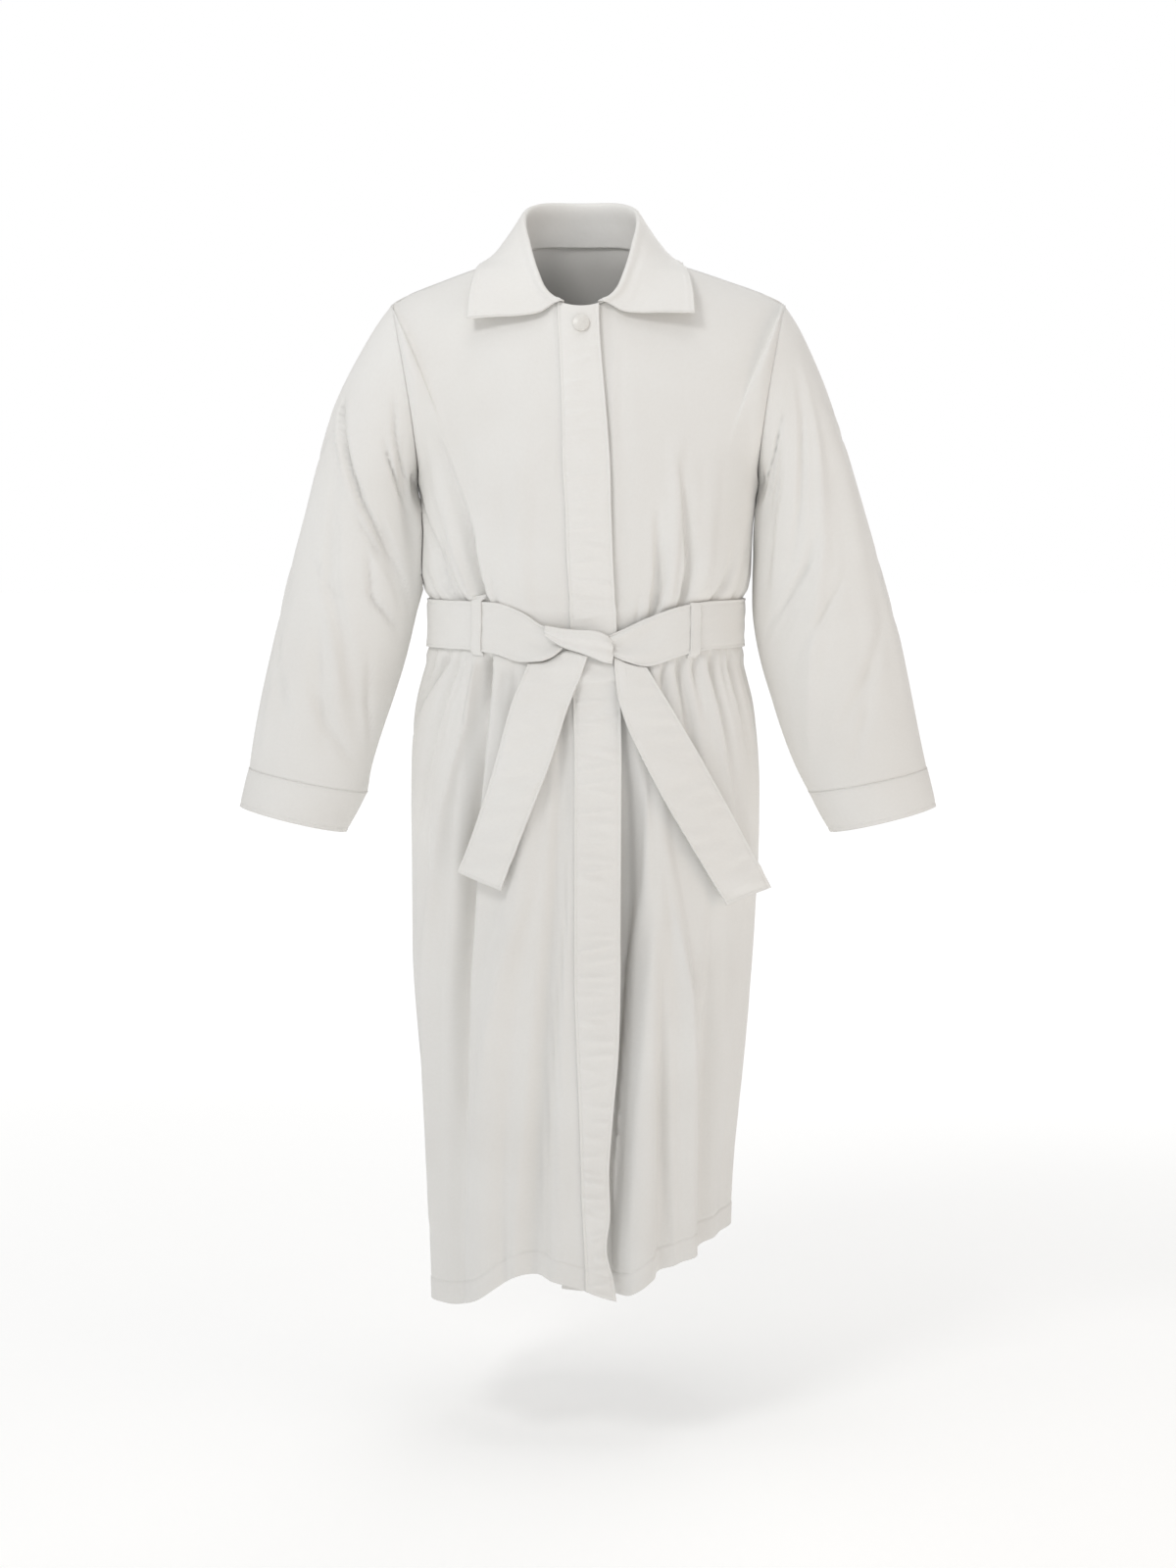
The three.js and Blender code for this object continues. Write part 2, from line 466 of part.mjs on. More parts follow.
// Each column of the yoke leaves the chest ring upright and rolls over to the top edge.
function yokePoint(foot, edge, way, s) {
  const span = edge.distanceTo(foot);
  const at = (c, up) => hermite(foot[c], up * span, edge[c], 0.85 * span * way[c], s);
  return vec(at('x', 0), at('y', 0), at('z', 1.15));
}

// ---------------------------------------------------------------- walls
function gridNormals(grid, closed) {
  const cols = grid[0].length;
  const wrap = (j) => (closed ? (j + cols) % cols : clamp(j, 0, cols - 1));
  return grid.map((row, i) => row.map((_, j) => {
    const above = grid[Math.max(0, i - 1)][j];
    const below = grid[Math.min(grid.length - 1, i + 1)][j];
    const across = row[wrap(j + 1)].clone().sub(row[wrap(j - 1)]);
    return across.cross(above.clone().sub(below)).normalize();
  }));
}

// The grid moved along its normals. Square names the axis that a seam's normals have no part of.
function moved(grid, distance, closed = false, square = null) {
  const normals = gridNormals(grid, closed);
  return grid.map((row, i) => row.map((p, j) => {
    const n = normals[i][j];
    const axis = square && square(i, j);
    if (axis) {
      n[axis] = 0;
      n.normalize();
    }
    return p.clone().addScaledVector(n, distance);
  }));
}

function named(name, geometry, material = CLOTH) {
  const mesh = new THREE.Mesh(geometry, material);
  mesh.name = name;
  return mesh;
}

// A closed wall between an outer and an inner grid of points, rows from the top down.
function wallBetween(name, outer, inner, closed = false) {
  const rows = outer.length;
  const cols = outer[0].length;
  const positions = [outer, inner].flat(2).flatMap((p) => [p.x, p.y, p.z]);
  const id = (face, i, j) => face * rows * cols + i * cols + (closed ? j % cols : j);
  const index = [];
  const quad = (a, b, c, d) => index.push(a, b, c, a, c, d);
  const last = closed ? cols : cols - 1;
  for (let j = 0; j < last; j++) {
    for (let i = 0; i < rows - 1; i++) {
      quad(id(0, i, j), id(0, i + 1, j), id(0, i + 1, j + 1), id(0, i, j + 1));
      quad(id(1, i, j), id(1, i, j + 1), id(1, i + 1, j + 1), id(1, i + 1, j));
    }
    quad(id(0, 0, j), id(0, 0, j + 1), id(1, 0, j + 1), id(1, 0, j));
    quad(id(0, rows - 1, j + 1), id(0, rows - 1, j), id(1, rows - 1, j), id(1, rows - 1, j + 1));
  }
  if (!closed) for (let i = 0; i < rows - 1; i++) {
    quad(id(0, i + 1, 0), id(0, i, 0), id(1, i, 0), id(1, i + 1, 0));
    quad(id(0, i, cols - 1), id(0, i + 1, cols - 1), id(1, i + 1, cols - 1), id(1, i, cols - 1));
  }
  const geometry = new THREE.BufferGeometry();
  geometry.setAttribute('position', new THREE.Float32BufferAttribute(positions, 3));
  geometry.setIndex(index);
  return named(name, geometry);
}

function wall(name, outer, thickness, closed = false, square = null) {
  return wallBetween(name, outer, moved(outer, -thickness, closed, square), closed);
}

// Outer faces of finished pieces, for what lies on them.
function facesOf(grids) {
  const faces = [];
  for (const g of grids) for (let i = 0; i < g.length - 1; i++) for (let j = 0; j < g[0].length - 1; j++) {
    faces.push(new THREE.Triangle(g[i][j], g[i + 1][j], g[i + 1][j + 1]));
    faces.push(new THREE.Triangle(g[i][j], g[i + 1][j + 1], g[i][j + 1]));
  }
  return faces.filter((face) => face.getArea() > 1e-6);
}

// A point kept at least a clearance outside the faces that look its way, or set at just that distance.
function clearOf(p, faces, clearance, way, settle = false) {
  let best = Infinity;
  const at = vec(0, 0, 0);
  const n = vec(0, 0, 0);
  const near = vec(0, 0, 0);
  const normal = vec(0, 0, 0);
  for (const face of faces) {
    if (face.getNormal(n).dot(way) < 0.1) continue;
    face.closestPointToPoint(p, at);
    const distance = at.distanceTo(p);
    if (distance > best - 1e-6) continue;
    best = distance;
    near.copy(at);
    normal.copy(n);
  }
  const outside = p.clone().sub(near).dot(normal) >= 0;
  if (settle || !outside || best < clearance) p.copy(near).addScaledVector(normal, clearance);
  return p;
}

// ---------------------------------------------------------------- body panels
function bodyColumn(angleAt, hemAt, layer, [edge, way]) {
  const footAngle = angleAt(CHEST_RING_Z);
  const foot = clothAt(footAngle, rowHeight(CHEST_RING_Z, footAngle, 0), layer, CHEST_RING_Z);
  const out = vec(Math.sin(rad(footAngle)), -Math.cos(rad(footAngle)), 0);
  const yoke = YOKE_STEPS.map((s) => {
    const p = yokePoint(foot, edge, way, s);
    const fade = smooth((-150 - p.z) / 80) * smooth((1 - s) / 0.5) * smooth(s / 0.3);
    return p.addScaledVector(out, foldRise(footAngle, p.z) * fade);
  });
  const skirt = BODY_ROWS.map((row) => {
    const angle = angleAt(row);
    const z = rowHeight(row, angle, hemAt(angle));
    return clothAt(angle, z, layer, row < BELT.z - 60 ? z : row);
  });
  return [...yoke, ...skirt];
}

function transpose(columns) {
  return columns[0].map((_, i) => columns.map((column) => column[i]));
}

// Ease the columns of the yoke into each other below its neck and shoulder, and leave the armhole as cut.
function easedYoke(grid, tops) {
  const rows = YOKE_STEPS.length;
  for (let pass = 0; pass < 14; pass++) for (let i = 1; i < rows; i++) {
    const old = grid[i].map((p) => p.clone());
    const share = 0.5 * Math.min(1, i / 3) * smooth((rows - i) / 3);
    for (let j = 1; j < old.length - 1; j++) {
      const middle = old[j - 1].clone().add(old[j + 1]).multiplyScalar(0.5);
      grid[i][j].lerp(middle, share * smooth((1.95 - tops[j]) / 0.7));
    }
  }
  return grid;
}

const overTops = [...FRONT_COLUMNS].reverse();
const backTops = [...BACK_COLUMNS, ...[...BACK_COLUMNS].reverse().slice(1)];

function overPanel() {
  const hemAt = (a) => read(HEM_OVER, 'a', a, 'z');
  const columns = overTops.map((c) => bodyColumn(() => -c.a, hemAt, LAYER.over, topEdge(-1, -1, c.top)));
  for (let k = PLACKET_CELLS; k >= 0; k--) {
    const t = k / PLACKET_CELLS;
    const lineX = (z) => mix(read(PLACKET, 'z', z, 'edge'), read(PLACKET, 'z', z, 'inner'), t);
    const edge = neckPoint(neckPsiOfX(lineX(0)));
    columns.push(bodyColumn((z) => angleOfX(lineX(z), z), hemAt, LAYER.over, [edge, NECK_WAY]));
  }
  return easedYoke(transpose(columns), columns.map((_, j) => (j < overTops.length ? overTops[j].top : 0)));
}

// The front beneath goes into the deep fold beside the closing and lies lower where the other covers it.
function tuckedIn(column) {
  for (const p of column) {
    const angle = deg(Math.atan2(p.x, -p.y));
    const lip = read(DEEP_FOLD, 'z', p.z, 'lip');
    const fold = read(DEEP_FOLD, 'z', p.z, 'depth') * (1 - smooth((angle - lip + 9) / 9));
    const covered = 1.6 * (1 - smooth((angle - 16) / 10)) * smooth((p.z - BELT.z) / 60);
    const scale = 1 - (fold + covered) / Math.hypot(p.x, p.y);
    p.x *= scale;
    p.y *= scale;
  }
  return column;
}

function underPanel() {
  const hemAt = (a) => read(HEM_UNDER, 'a', a, 'z');
  const first = FRONT_COLUMNS[0];
  const columns = [];
  for (let k = 0; k < COVERED_CELLS; k++) {
    const t = k / COVERED_CELLS;
    const edge = neckPoint(mix(neckPsiOfX(UNDER_EDGE_X), 90 * first.top, t));
    edge.y += LAYER.under.free * (1 - smooth((t - 0.6) / 0.3));
    const angleAt = (z) => mix(angleOfX(UNDER_EDGE_X, z), first.a, t);
    columns.push(tuckedIn(bodyColumn(angleAt, hemAt, LAYER.under, [edge, NECK_WAY])));
  }
  for (const c of FRONT_COLUMNS) {
    columns.push(tuckedIn(bodyColumn(() => c.a, hemAt, LAYER.under, topEdge(1, -1, c.top))));
  }
  const tops = columns.map((_, j) => (j < COVERED_CELLS ? 0 : FRONT_COLUMNS[j - COVERED_CELLS].top));
  return easedYoke(transpose(columns), tops);
}

function backPanel() {
  const hemAt = (a) => read(HEM_BACK, 'a', a, 'z');
  const columns = backTops.map((c, j) => {
    const left = j < BACK_COLUMNS.length;
    const angle = left ? c.a : 360 - c.a;
    return bodyColumn(() => angle, hemAt, LAYER.over, topEdge(left ? 1 : -1, 1, c.top));
  });
  return easedYoke(transpose(columns), backTops.map((c) => c.top));
}

// Draw a panel's edges back from its seams.
function trimmed(grid, { left = 0, right = 0 }) {
  const last = grid[0].length - 1;
  const pulled = (p, toward, distance) => p.clone().addScaledVector(toward.clone().sub(p).normalize(), distance);
  return grid.map((row, i) => row.map((p, j) => {
    if (i === 0) return pulled(p, grid[1][j], SEAM_GAP / 3);
    if (j === 0 && left) return pulled(p, row[1], left);
    if (j === last && right) return pulled(p, row[last - 1], right);
    return p;
  }));
}

const half = SEAM_GAP / 2;
const over = trimmed(overPanel(), { left: half });
const under = trimmed(underPanel(), { right: half });
const back = trimmed(backPanel(), { left: half, right: half });

// Side and shoulder seams lie in the plane of the origin, so the walls end square to it.
const seamAxis = (tops, lead, sides) => (i, j) => {
  const column = tops[j - lead];
  const shoulder = i === 0 && column && column.top >= 1 && column.top <= 2;
  return shoulder || sides.includes(j) ? 'y' : null;
};

const root = new THREE.Group();
root.add(wall('front_over', over, CLOTH_WALL, false, seamAxis(overTops, 0, [0])));
const underSeams = seamAxis(FRONT_COLUMNS, COVERED_CELLS, [under[0].length - 1]);
root.add(wall('front_under', under, CLOTH_WALL, false, underSeams));
root.add(wall('back', back, CLOTH_WALL, false, seamAxis(backTops, 0, [0, back[0].length - 1])));

// ---------------------------------------------------------------- closing strip and button
const stripAt = (lift) => moved(over, lift).map((row) => row.slice(-PLACKET_CELLS - 1));
const placket = stripAt(SEAM_GAP + BAND_WALL);
root.add(wallBetween('placket_band', placket, stripAt(SEAM_GAP)));

function buttonGeometry() {
  const { radius, thick } = BUTTON;
  const profile = [
    [0, 0], [radius - 0.6, 0], [radius, 1.2], [radius - 0.4, 2.8], [radius - 2.4, thick - 0.3], [0, thick],
  ].map(([x, y]) => new THREE.Vector2(x, y));
  const ray = new THREE.Ray(vec(BUTTON.x, -1000, BUTTON.z), vec(0, 1, 0));
  const face = facesOf([placket]).find((f) => ray.intersectTriangle(f.a, f.b, f.c, false, vec(0, 0, 0)));
  const normal = face.getNormal(vec(0, 0, 0));
  const at = ray.intersectTriangle(face.a, face.b, face.c, false, vec(0, 0, 0));
  at.addScaledVector(normal, 2 * SEAM_GAP);
  return new THREE.LatheGeometry(profile, 18)
    .applyQuaternion(new THREE.Quaternion().setFromUnitVectors(vec(0, 1, 0), normal))
    .translate(at.x, at.y, at.z);
}
root.add(named('button', buttonGeometry(), BUTTON_PLASTIC));

// ---------------------------------------------------------------- collar
const yokeRows = YOKE_STEPS.length + 4;
const yokeFaces = facesOf([over, under, back, placket].map((grid) => grid.slice(0, yokeRows)));

// One column of the collar: up the stand, over the fold and down the leaf to its edge.
function collarColumn(u) {
  const side = Math.sign(u) || 1;
  const psi = 180 - (180 - COLLAR[0].psi) * Math.abs(u) ** 0.94;
  const at = (column) => read(COLLAR, 'psi', psi, column);
  const toSide = smooth((psi - 22) / 40);
  const seam = neckPoint(side * psi);
  const round = vec(Math.sin(rad(side * psi)), -Math.cos(rad(psi)), 0);
  const rise = vec(0, -1, 0.25).lerp(vec(-0.1 * round.x, -0.1 * round.y, 1), toSide).normalize();
  const fold = seam.clone().addScaledVector(rise, at('stand'));
  const edge = vec(NECK.x + side * at('ex'), at('ey'), at('ez'));
  const out = edge.clone().sub(fold);
  out.addScaledVector(rise, -out.dot(rise)).normalize();
  const place = (from, along, up) => from.clone().addScaledVector(out, along).addScaledVector(rise, up);
  const r = COLLAR_ROLL;
  const base = place(seam, -0.6, 0.5);
  const column = [
    base, place(base.clone().lerp(fold, 0.5), -0.5 * r, 0), place(fold, -r, -r), place(fold, -0.4 * r, 0.2 * r),
    place(fold, 0.9 * r, 0.2 * r), place(fold, 2 * r, -0.6 * r),
  ];
  const leafTop = column[column.length - 1];
  const way = vec(0, -1, 0.3).lerp(vec(round.x, round.y, 1), toSide).normalize();
  for (const t of [0.2, 0.42, 0.7, 1]) {
    const p = leafTop.clone().lerp(edge, t).addScaledVector(way, 8 * t * (1 - t));
    column.push(clearOf(p, yokeFaces, COLLAR_WALL + 3 * SEAM_GAP, way));
  }
  return column;
}

const collarColumns = [];
for (let k = 0; k <= COLLAR_COLUMNS; k++) collarColumns.push(collarColumn((2 * k) / COLLAR_COLUMNS - 1));
root.add(wall('collar', transpose(collarColumns), COLLAR_WALL));

// ---------------------------------------------------------------- sleeves and cuffs
// A sleeve has its columns where the panels have theirs round the armhole: down the front, then up the back.
const frontRound = FRONT_COLUMNS.filter((c) => c.top >= 2).map((c) => c.top - 2);
const backRound = BACK_COLUMNS.filter((c) => c.top > 2 && c.top < 3).map((c) => 4 - c.top);
const ROUND = [...frontRound, ...backRound];
const SLEEVE_END = SLEEVE.length - 1;

function sleeveRing(section, side) {
  const { ox, oz, ix, iz, depth, y } = section;
  return ROUND.map((turn) => {
    const c = Math.cos(Math.PI * turn);
    const s = Math.sin(Math.PI * turn);
    const x = (ox + ix) / 2 + (c * (ox - ix)) / 2;
    return vec(side * x, y - depth * s, (oz + iz) / 2 + (c * (oz - iz)) / 2);
  });
}

function sleeveFoldRise(folds, t, angle) {
  let sum = 0;
  const fade = 0.05;
  for (const fold of folds) {
    const [start, middle, end] = fold.t;
    if (t < start - fade || t > end + fade) continue;
    const early = t < middle;
    const [from, to] = early ? [start, middle] : [middle, end];
    const k = clamp((early ? 0 : 0.5) + (0.5 * (t - from)) / (to - from), 0, 1);
    const across = (rad(angle - between3(fold.a, k)) * 54) / between3(fold.w, k);
    if (Math.abs(across) >= 1) continue;
    const ends = smooth((t - start + fade) / 0.08) * smooth((end + fade - t) / 0.08);
    sum += between3(fold.h, k) * (1 - across * across) ** 2 * ends;
  }
  return sum;
}

// The head of the sleeve follows the armhole and eases into its own sections.
function sleeveGrid(side, folds) {
  const rings = SLEEVE.map((section) => sleeveRing(section, side));
  const head = ROUND.map((turn, j) => {
    const loop = turn <= 1 ? armholePoint(side, -1, turn) : armholePoint(side, 1, 2 - turn);
    loop.x += side * 1.2 * SEAM_GAP;
    return loop.sub(rings[0][j]);
  });
  return SLEEVE_STEPS.map((step) => {
    const k = Math.min(Math.floor(step), SLEEVE_END - 1);
    const [before, here] = [rings[Math.max(0, k - 1)], rings[k]];
    const [next, after] = [rings[k + 1], rings[Math.min(SLEEVE_END, k + 2)]];
    const middle = here.reduce((sum, p) => sum.addScaledVector(p, 1 / here.length), vec(0, 0, 0));
    return here.map((p, j) => {
      const at = (c) => {
        const m0 = (next[j][c] - before[j][c]) / (k > 0 ? 2 : 1);
        const m1 = (after[j][c] - p[c]) / (k + 2 <= SLEEVE_END ? 2 : 1);
        return hermite(p[c], m0, next[j][c], m1, step - k);
      };
      const rise = sleeveFoldRise(folds, step / SLEEVE_END, ROUND[j] * 180)
        * smooth((step - 0.6) / 1.4) * smooth((SLEEVE_END - step) / 1.2);
      return vec(at('x'), at('y'), at('z'))
        .addScaledVector(head[j], 1 - smooth(step / 2.2))
        .addScaledVector(p.clone().sub(middle).normalize(), rise);
    });
  });
}

// Columns run so that the wall faces out on either side.
const facing = (grid, side) => (side > 0 ? grid.map((row) => [...row].reverse()) : grid);
for (const [side, suffix, folds] of [[-1, 'right', SLEEVE_FOLDS_RIGHT], [1, 'left', SLEEVE_FOLDS_LEFT]]) {
  const sleeve = facing(sleeveGrid(side, folds), side);
  root.add(wall('sleeve_' + suffix, sleeve, CLOTH_WALL, true, (i) => (i === 0 ? 'x' : null)));
  const cuff = facing(CUFF.map((section) => sleeveRing(section, side)), side);
  root.add(wall('cuff_' + suffix, cuff, CUFF_WALL, true));
}

// ---------------------------------------------------------------- belt
// Upper edge, lower edge and stand-off of the belt at an angle counted from the front round the wearer's right.
function beltEdge(angle, column) {
  return angle > -180 ? read(BELT_EDGES, 'a', angle, column) : read(BELT_EDGES_LEFT, 'a', angle + 360, column);
}

const beltLevel = (z, angle, slack) => clamp(z - beltSag(angle), BELT.z - slack, BELT.z + slack);

function beltColumn(angle) {
  return [0, 0.34, 0.67, 1].map((v) => {
    const z = mix(beltEdge(angle, 'top'), beltEdge(angle, 'low'), v);
    const p = onForm(angle, beltLevel(z, angle, BELT.width / 2), BELT_WALL + BELT_LIFT + beltEdge(angle, 'off'));
    p.z = z;
    return p;
  });
}
root.add(wall('belt_waist', transpose([...BELT_COLUMNS].reverse().map(beltColumn)), BELT_WALL));

function knotColumn(section) {
  return [0, 0.25, 0.5, 0.75, 1].map((v) => {
    const z = mix(section.top, section.low, v);
    const level = BELT.z + z - (section.top + section.low) / 2;
    return onFront(section.x, z, level, section.off + BELT_WALL + 1.5 * Math.sin(Math.PI * v));
  });
}
root.add(wall('belt_knot', transpose(KNOT.map(knotColumn)), BELT_WALL));

// Lowest edge of the belt or the knot above a point of a tail, and how far out it lies there.
function strandAbove(x) {
  const angle = angleOfX(x, BELT.z);
  const beltAngle = angle > 0 ? angle - 360 : angle;
  const crossed = x > KNOT[0].x && x < KNOT[KNOT.length - 1].x;
  const low = beltEdge(beltAngle, 'low');
  const lift = BELT_LIFT + beltEdge(beltAngle, 'off');
  const knotLow = crossed ? read(KNOT, 'x', x, 'low') : 0;
  return knotLow < low ? { low: knotLow, lift: read(KNOT, 'x', x, 'off') } : { low, lift };
}

const skirtFaces = facesOf([over, under, placket].map((grid) => grid.slice(yokeRows + 1)));
const FRONT_WAY = vec(0, -1, 0);

function tailGrid(table) {
  const rows = [];
  for (let i = 0; i <= TAIL_CELLS; i++) {
    const t = i / TAIL_CELLS;
    const at = (column) => read(table, 't', t, column);
    rows.push([0, 0.33, 0.67, 1].map((v) => {
      const x = mix(at('x0'), at('x1'), v);
      const above = strandAbove(x);
      if (i === 0) return onFront(x, above.low - 4 * SEAM_GAP, BELT.z - 18, above.lift + BELT_WALL);
      const z = mix(at('z0'), at('z1'), v);
      const level = z > -520 ? mix(BELT.z - 20, -520, smooth((-480 - z) / 40)) : z;
      return clearOf(onFront(x, z, level, at('off') + 0.5), skirtFaces, BELT_WALL + 1, FRONT_WAY);
    }));
  }
  return rows;
}
root.add(wall('belt_tail_right', tailGrid(TAIL_RIGHT), BELT_WALL));
root.add(wall('belt_tail_left', tailGrid(TAIL_LEFT), BELT_WALL));

// A loop is sewn to the front above and below the belt and passes over it.
function loopGrid(side) {
  const angle = side * LOOP.angle;
  const beltAngle = side > 0 ? angle - 360 : angle;
  const middle = (beltEdge(beltAngle, 'top') + beltEdge(beltAngle, 'low')) / 2;
  const turn = deg(LOOP.width / 2 / reach(angle, BELT.z));
  const over = BELT_WALL + BELT_LIFT + LOOP.wall + 2 * SEAM_GAP;
  const profile = [
    [-1, 0], [-0.91, 0], [-0.84, over], [-0.4, over + 0.5], [0, over + 0.5],
    [0.4, over + 0.5], [0.84, over], [0.91, 0], [1, 0],
  ];
  return profile.map(([v, lift]) => [-1, 0, 1].map((h) => {
    const a = angle + h * turn;
    const z = middle - (v * LOOP.length) / 2;
    const p = onForm(a, beltLevel(z, a, 40), lift);
    p.z = z;
    if (lift) return p;
    return clearOf(p, waistFaces, LOOP.wall + 2 * SEAM_GAP, vec(Math.sin(rad(a)), -Math.cos(rad(a)), 0), true);
  }));
}
const waistFaces = facesOf([over, under].map((grid) => grid.slice(yokeRows - 2, yokeRows + 8)));
root.add(wall('belt_loop_right', loopGrid(-1), LOOP.wall));
root.add(wall('belt_loop_left', loopGrid(1), LOOP.wall));

export default root;
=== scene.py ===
# %% [markdown]
# # A kittel, the white robe of a ceremony
# A kittel is a long white robe of thin, plain-woven cotton blend. This one hangs as it is worn, with nobody
# in it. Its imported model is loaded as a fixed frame: every piece made here lies where its solid lies, only
# finer and softer. The tables below are in millimetres, with the origin in the neck opening, and the meshes
# are in metres.

# %% Frame
import json
import math

import bmesh
import bpy
import numpy as np
from mathutils import Matrix, Vector
from mathutils.bvhtree import BVHTree

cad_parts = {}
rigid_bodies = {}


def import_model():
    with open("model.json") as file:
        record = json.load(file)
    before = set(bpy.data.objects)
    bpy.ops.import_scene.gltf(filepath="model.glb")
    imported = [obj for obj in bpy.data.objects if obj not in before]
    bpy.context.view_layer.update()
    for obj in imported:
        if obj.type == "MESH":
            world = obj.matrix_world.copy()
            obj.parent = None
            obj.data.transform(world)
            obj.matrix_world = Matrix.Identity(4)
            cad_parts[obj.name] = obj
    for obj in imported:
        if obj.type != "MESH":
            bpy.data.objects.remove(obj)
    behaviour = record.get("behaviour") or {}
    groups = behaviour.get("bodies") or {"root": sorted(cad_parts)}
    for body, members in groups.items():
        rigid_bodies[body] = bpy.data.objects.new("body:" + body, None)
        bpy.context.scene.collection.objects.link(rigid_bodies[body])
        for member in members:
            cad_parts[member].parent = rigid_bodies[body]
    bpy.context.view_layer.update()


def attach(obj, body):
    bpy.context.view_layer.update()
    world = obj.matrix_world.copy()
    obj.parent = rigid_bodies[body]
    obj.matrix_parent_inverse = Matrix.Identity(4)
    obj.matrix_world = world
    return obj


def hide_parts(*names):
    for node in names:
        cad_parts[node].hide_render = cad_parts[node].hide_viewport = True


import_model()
MM = 0.001

# %% [markdown]
# ## Camera
# The robe is seen from chest height, a little from above. A long lens from 3.2 m keeps its lines nearly
# parallel, as a portrait does, where a wide lens close up would swell the belt and shrink the hem.

# %% Camera
CAMERA_DISTANCE = 3.2
CAMERA_ELEVATION = math.radians(6)
CAMERA_TARGET = Vector((0, 0, -0.6425))
LENS, SENSOR_WIDTH = 61.2, 36

camera = bpy.data.objects.new("camera", bpy.data.cameras.new("camera"))
camera.data.lens = LENS
camera.data.sensor_width = SENSOR_WIDTH
away = Vector((0, -math.cos(CAMERA_ELEVATION), math.sin(CAMERA_ELEVATION)))
camera.location = CAMERA_TARGET + CAMERA_DISTANCE * away
camera.rotation_euler = (math.pi / 2 - CAMERA_ELEVATION, 0, 0)
bpy.context.scene.collection.objects.link(camera)
bpy.context.scene.camera = camera
print("camera at", [round(v, 3) for v in camera.location])

# %% [markdown]
# ## Reading tables smoothly
# A garment is easiest to describe by a few measured sections. Straight lines between them would show as
# facets, so a table is read with a cubic that keeps inside its neighbours: it never swells past the
# measured sizes.


# %% Reading tables
def soft(t):
    """0 below 0, 1 above 1, and a smooth step between."""
    t = np.clip(t, 0, 1)
    return t * t * (3 - 2 * t)


def mix(a, b, t):
    return a + (b - a) * t


def hump(x, width):
    """1 at 0, falling off softly to both sides."""
    return np.exp(-((x / width) ** 2))


def inside(place, margin):
    """0 at the places 0 and 1, rising to 1 at a margin from them."""
    return soft(place / margin) * soft((1 - place) / margin)


def read(table, at, column):
    """Smooth value of a column of a table, whose first column is its key, at the places `at`."""
    rows = np.array(sorted(table), float)
    keys, values = rows[:, 0], rows[:, column]
    at = np.clip(at, keys[0], keys[-1])
    i = np.clip(np.searchsorted(keys, at, side="right") - 1, 0, len(keys) - 2)
    step = np.diff(keys)
    slope = np.diff(values) / step
    before, after = slope[:-1], slope[1:]
    same_way = before * after > 0
    eased = np.where(same_way, 2 * before * after / np.where(same_way, before + after, 1), 0)
    tangent = np.concatenate([slope[:1], eased, slope[-1:]])
    t = (at - keys[i]) / step[i]
    return hermite(values[i], tangent[i] * step[i], values[i + 1], tangent[i + 1] * step[i], t)


def hermite(y0, m0, y1, m1, t):
    """Cubic from y0 to y1 with the slopes m0 and m1."""
    return y0 + (3 * t**2 - 2 * t**3) * (y1 - y0) + (t**3 - 2 * t**2 + t) * m0 + (t**3 - t**2) * m1


def spline(knots, values, at):
    """Smooth curve through values, spaced along axis 0 as the knots are, read at `at`."""
    step = np.diff(knots).reshape(-1, *[1] * (values.ndim - 1))
    slope = np.diff(values, axis=0) / step
    inner = (slope[1:] * step[:-1] + slope[:-1] * step[1:]) / (step[1:] + step[:-1])
    tangent = np.concatenate([slope[:1], inner, slope[-1:]])
    i = np.clip(np.searchsorted(knots, at, side="right") - 1, 0, len(knots) - 2)
    t = ((at - knots[i]) / np.diff(knots)[i]).reshape(-1, *[1] * (values.ndim - 1))
    return hermite(values[i], tangent[i] * step[i], values[i + 1], tangent[i + 1] * step[i], t)


def places(knots, spacing):
    """Places along the knots, with every knot among them, about `spacing` apart."""
    found = [knots[:1]]
    for a, b in zip(knots[:-1], knots[1:]):
        found.append(np.linspace(a, b, max(1, round((b - a) / spacing)) + 1)[1:])
    return np.concatenate(found)


def run_along(points):
    """Distance run from the first row, down each column of points."""
    steps = np.linalg.norm(np.diff(points[..., :3], axis=0), axis=-1)
    return np.concatenate([np.zeros((1, *steps.shape[1:])), np.cumsum(steps, axis=0)])


def knots_of(grid, axis):
    """Mean distance along an axis of a grid of points."""
    steps = np.linalg.norm(np.diff(grid[..., :3], axis=axis), axis=-1).mean(axis=1 - axis)
    return np.concatenate([[0], np.cumsum(steps)])


def refined(grid, row_step, column_step, closed=False):
    """The grid read more finely along its rows and columns. Channels after x, y and z ride along."""
    rows = knots_of(grid, 0)
    fine = spline(rows, grid, places(rows, row_step))
    if not closed:
        columns = knots_of(fine, 1)
        return spline(columns, fine.transpose(1, 0, 2), places(columns, column_step)).transpose(1, 0, 2)
    wrap = 3
    turn = np.zeros(fine.shape[2])
    turn[3:] = fine[0, -1, 3:] - fine[0, 0, 3:]
    ring = np.concatenate([fine[:, -wrap - 1 : -1] - turn, fine, fine[:, 1 : wrap + 1] + turn], axis=1)
    columns = knots_of(ring, 1)
    at = places(columns, column_step)
    at = at[(at >= columns[wrap] - 1e-9) & (at <= columns[-wrap - 1] + 1e-9)]
    return spline(columns, ring.transpose(1, 0, 2), at).transpose(1, 0, 2)


def unit(v):
    return v / np.maximum(np.linalg.norm(v, axis=-1, keepdims=True), 1e-9)


def normals_of(points, closed=False):
    """Outward normals of a grid whose rows run from the top down."""
    if closed:
        across = np.roll(points[:, :-1], -1, axis=1) - np.roll(points[:, :-1], 1, axis=1)
        across = np.concatenate([across, across[:, :1]], axis=1)
    else:
        across = np.gradient(points, axis=1)
    return unit(np.cross(across, -np.gradient(points, axis=0)))


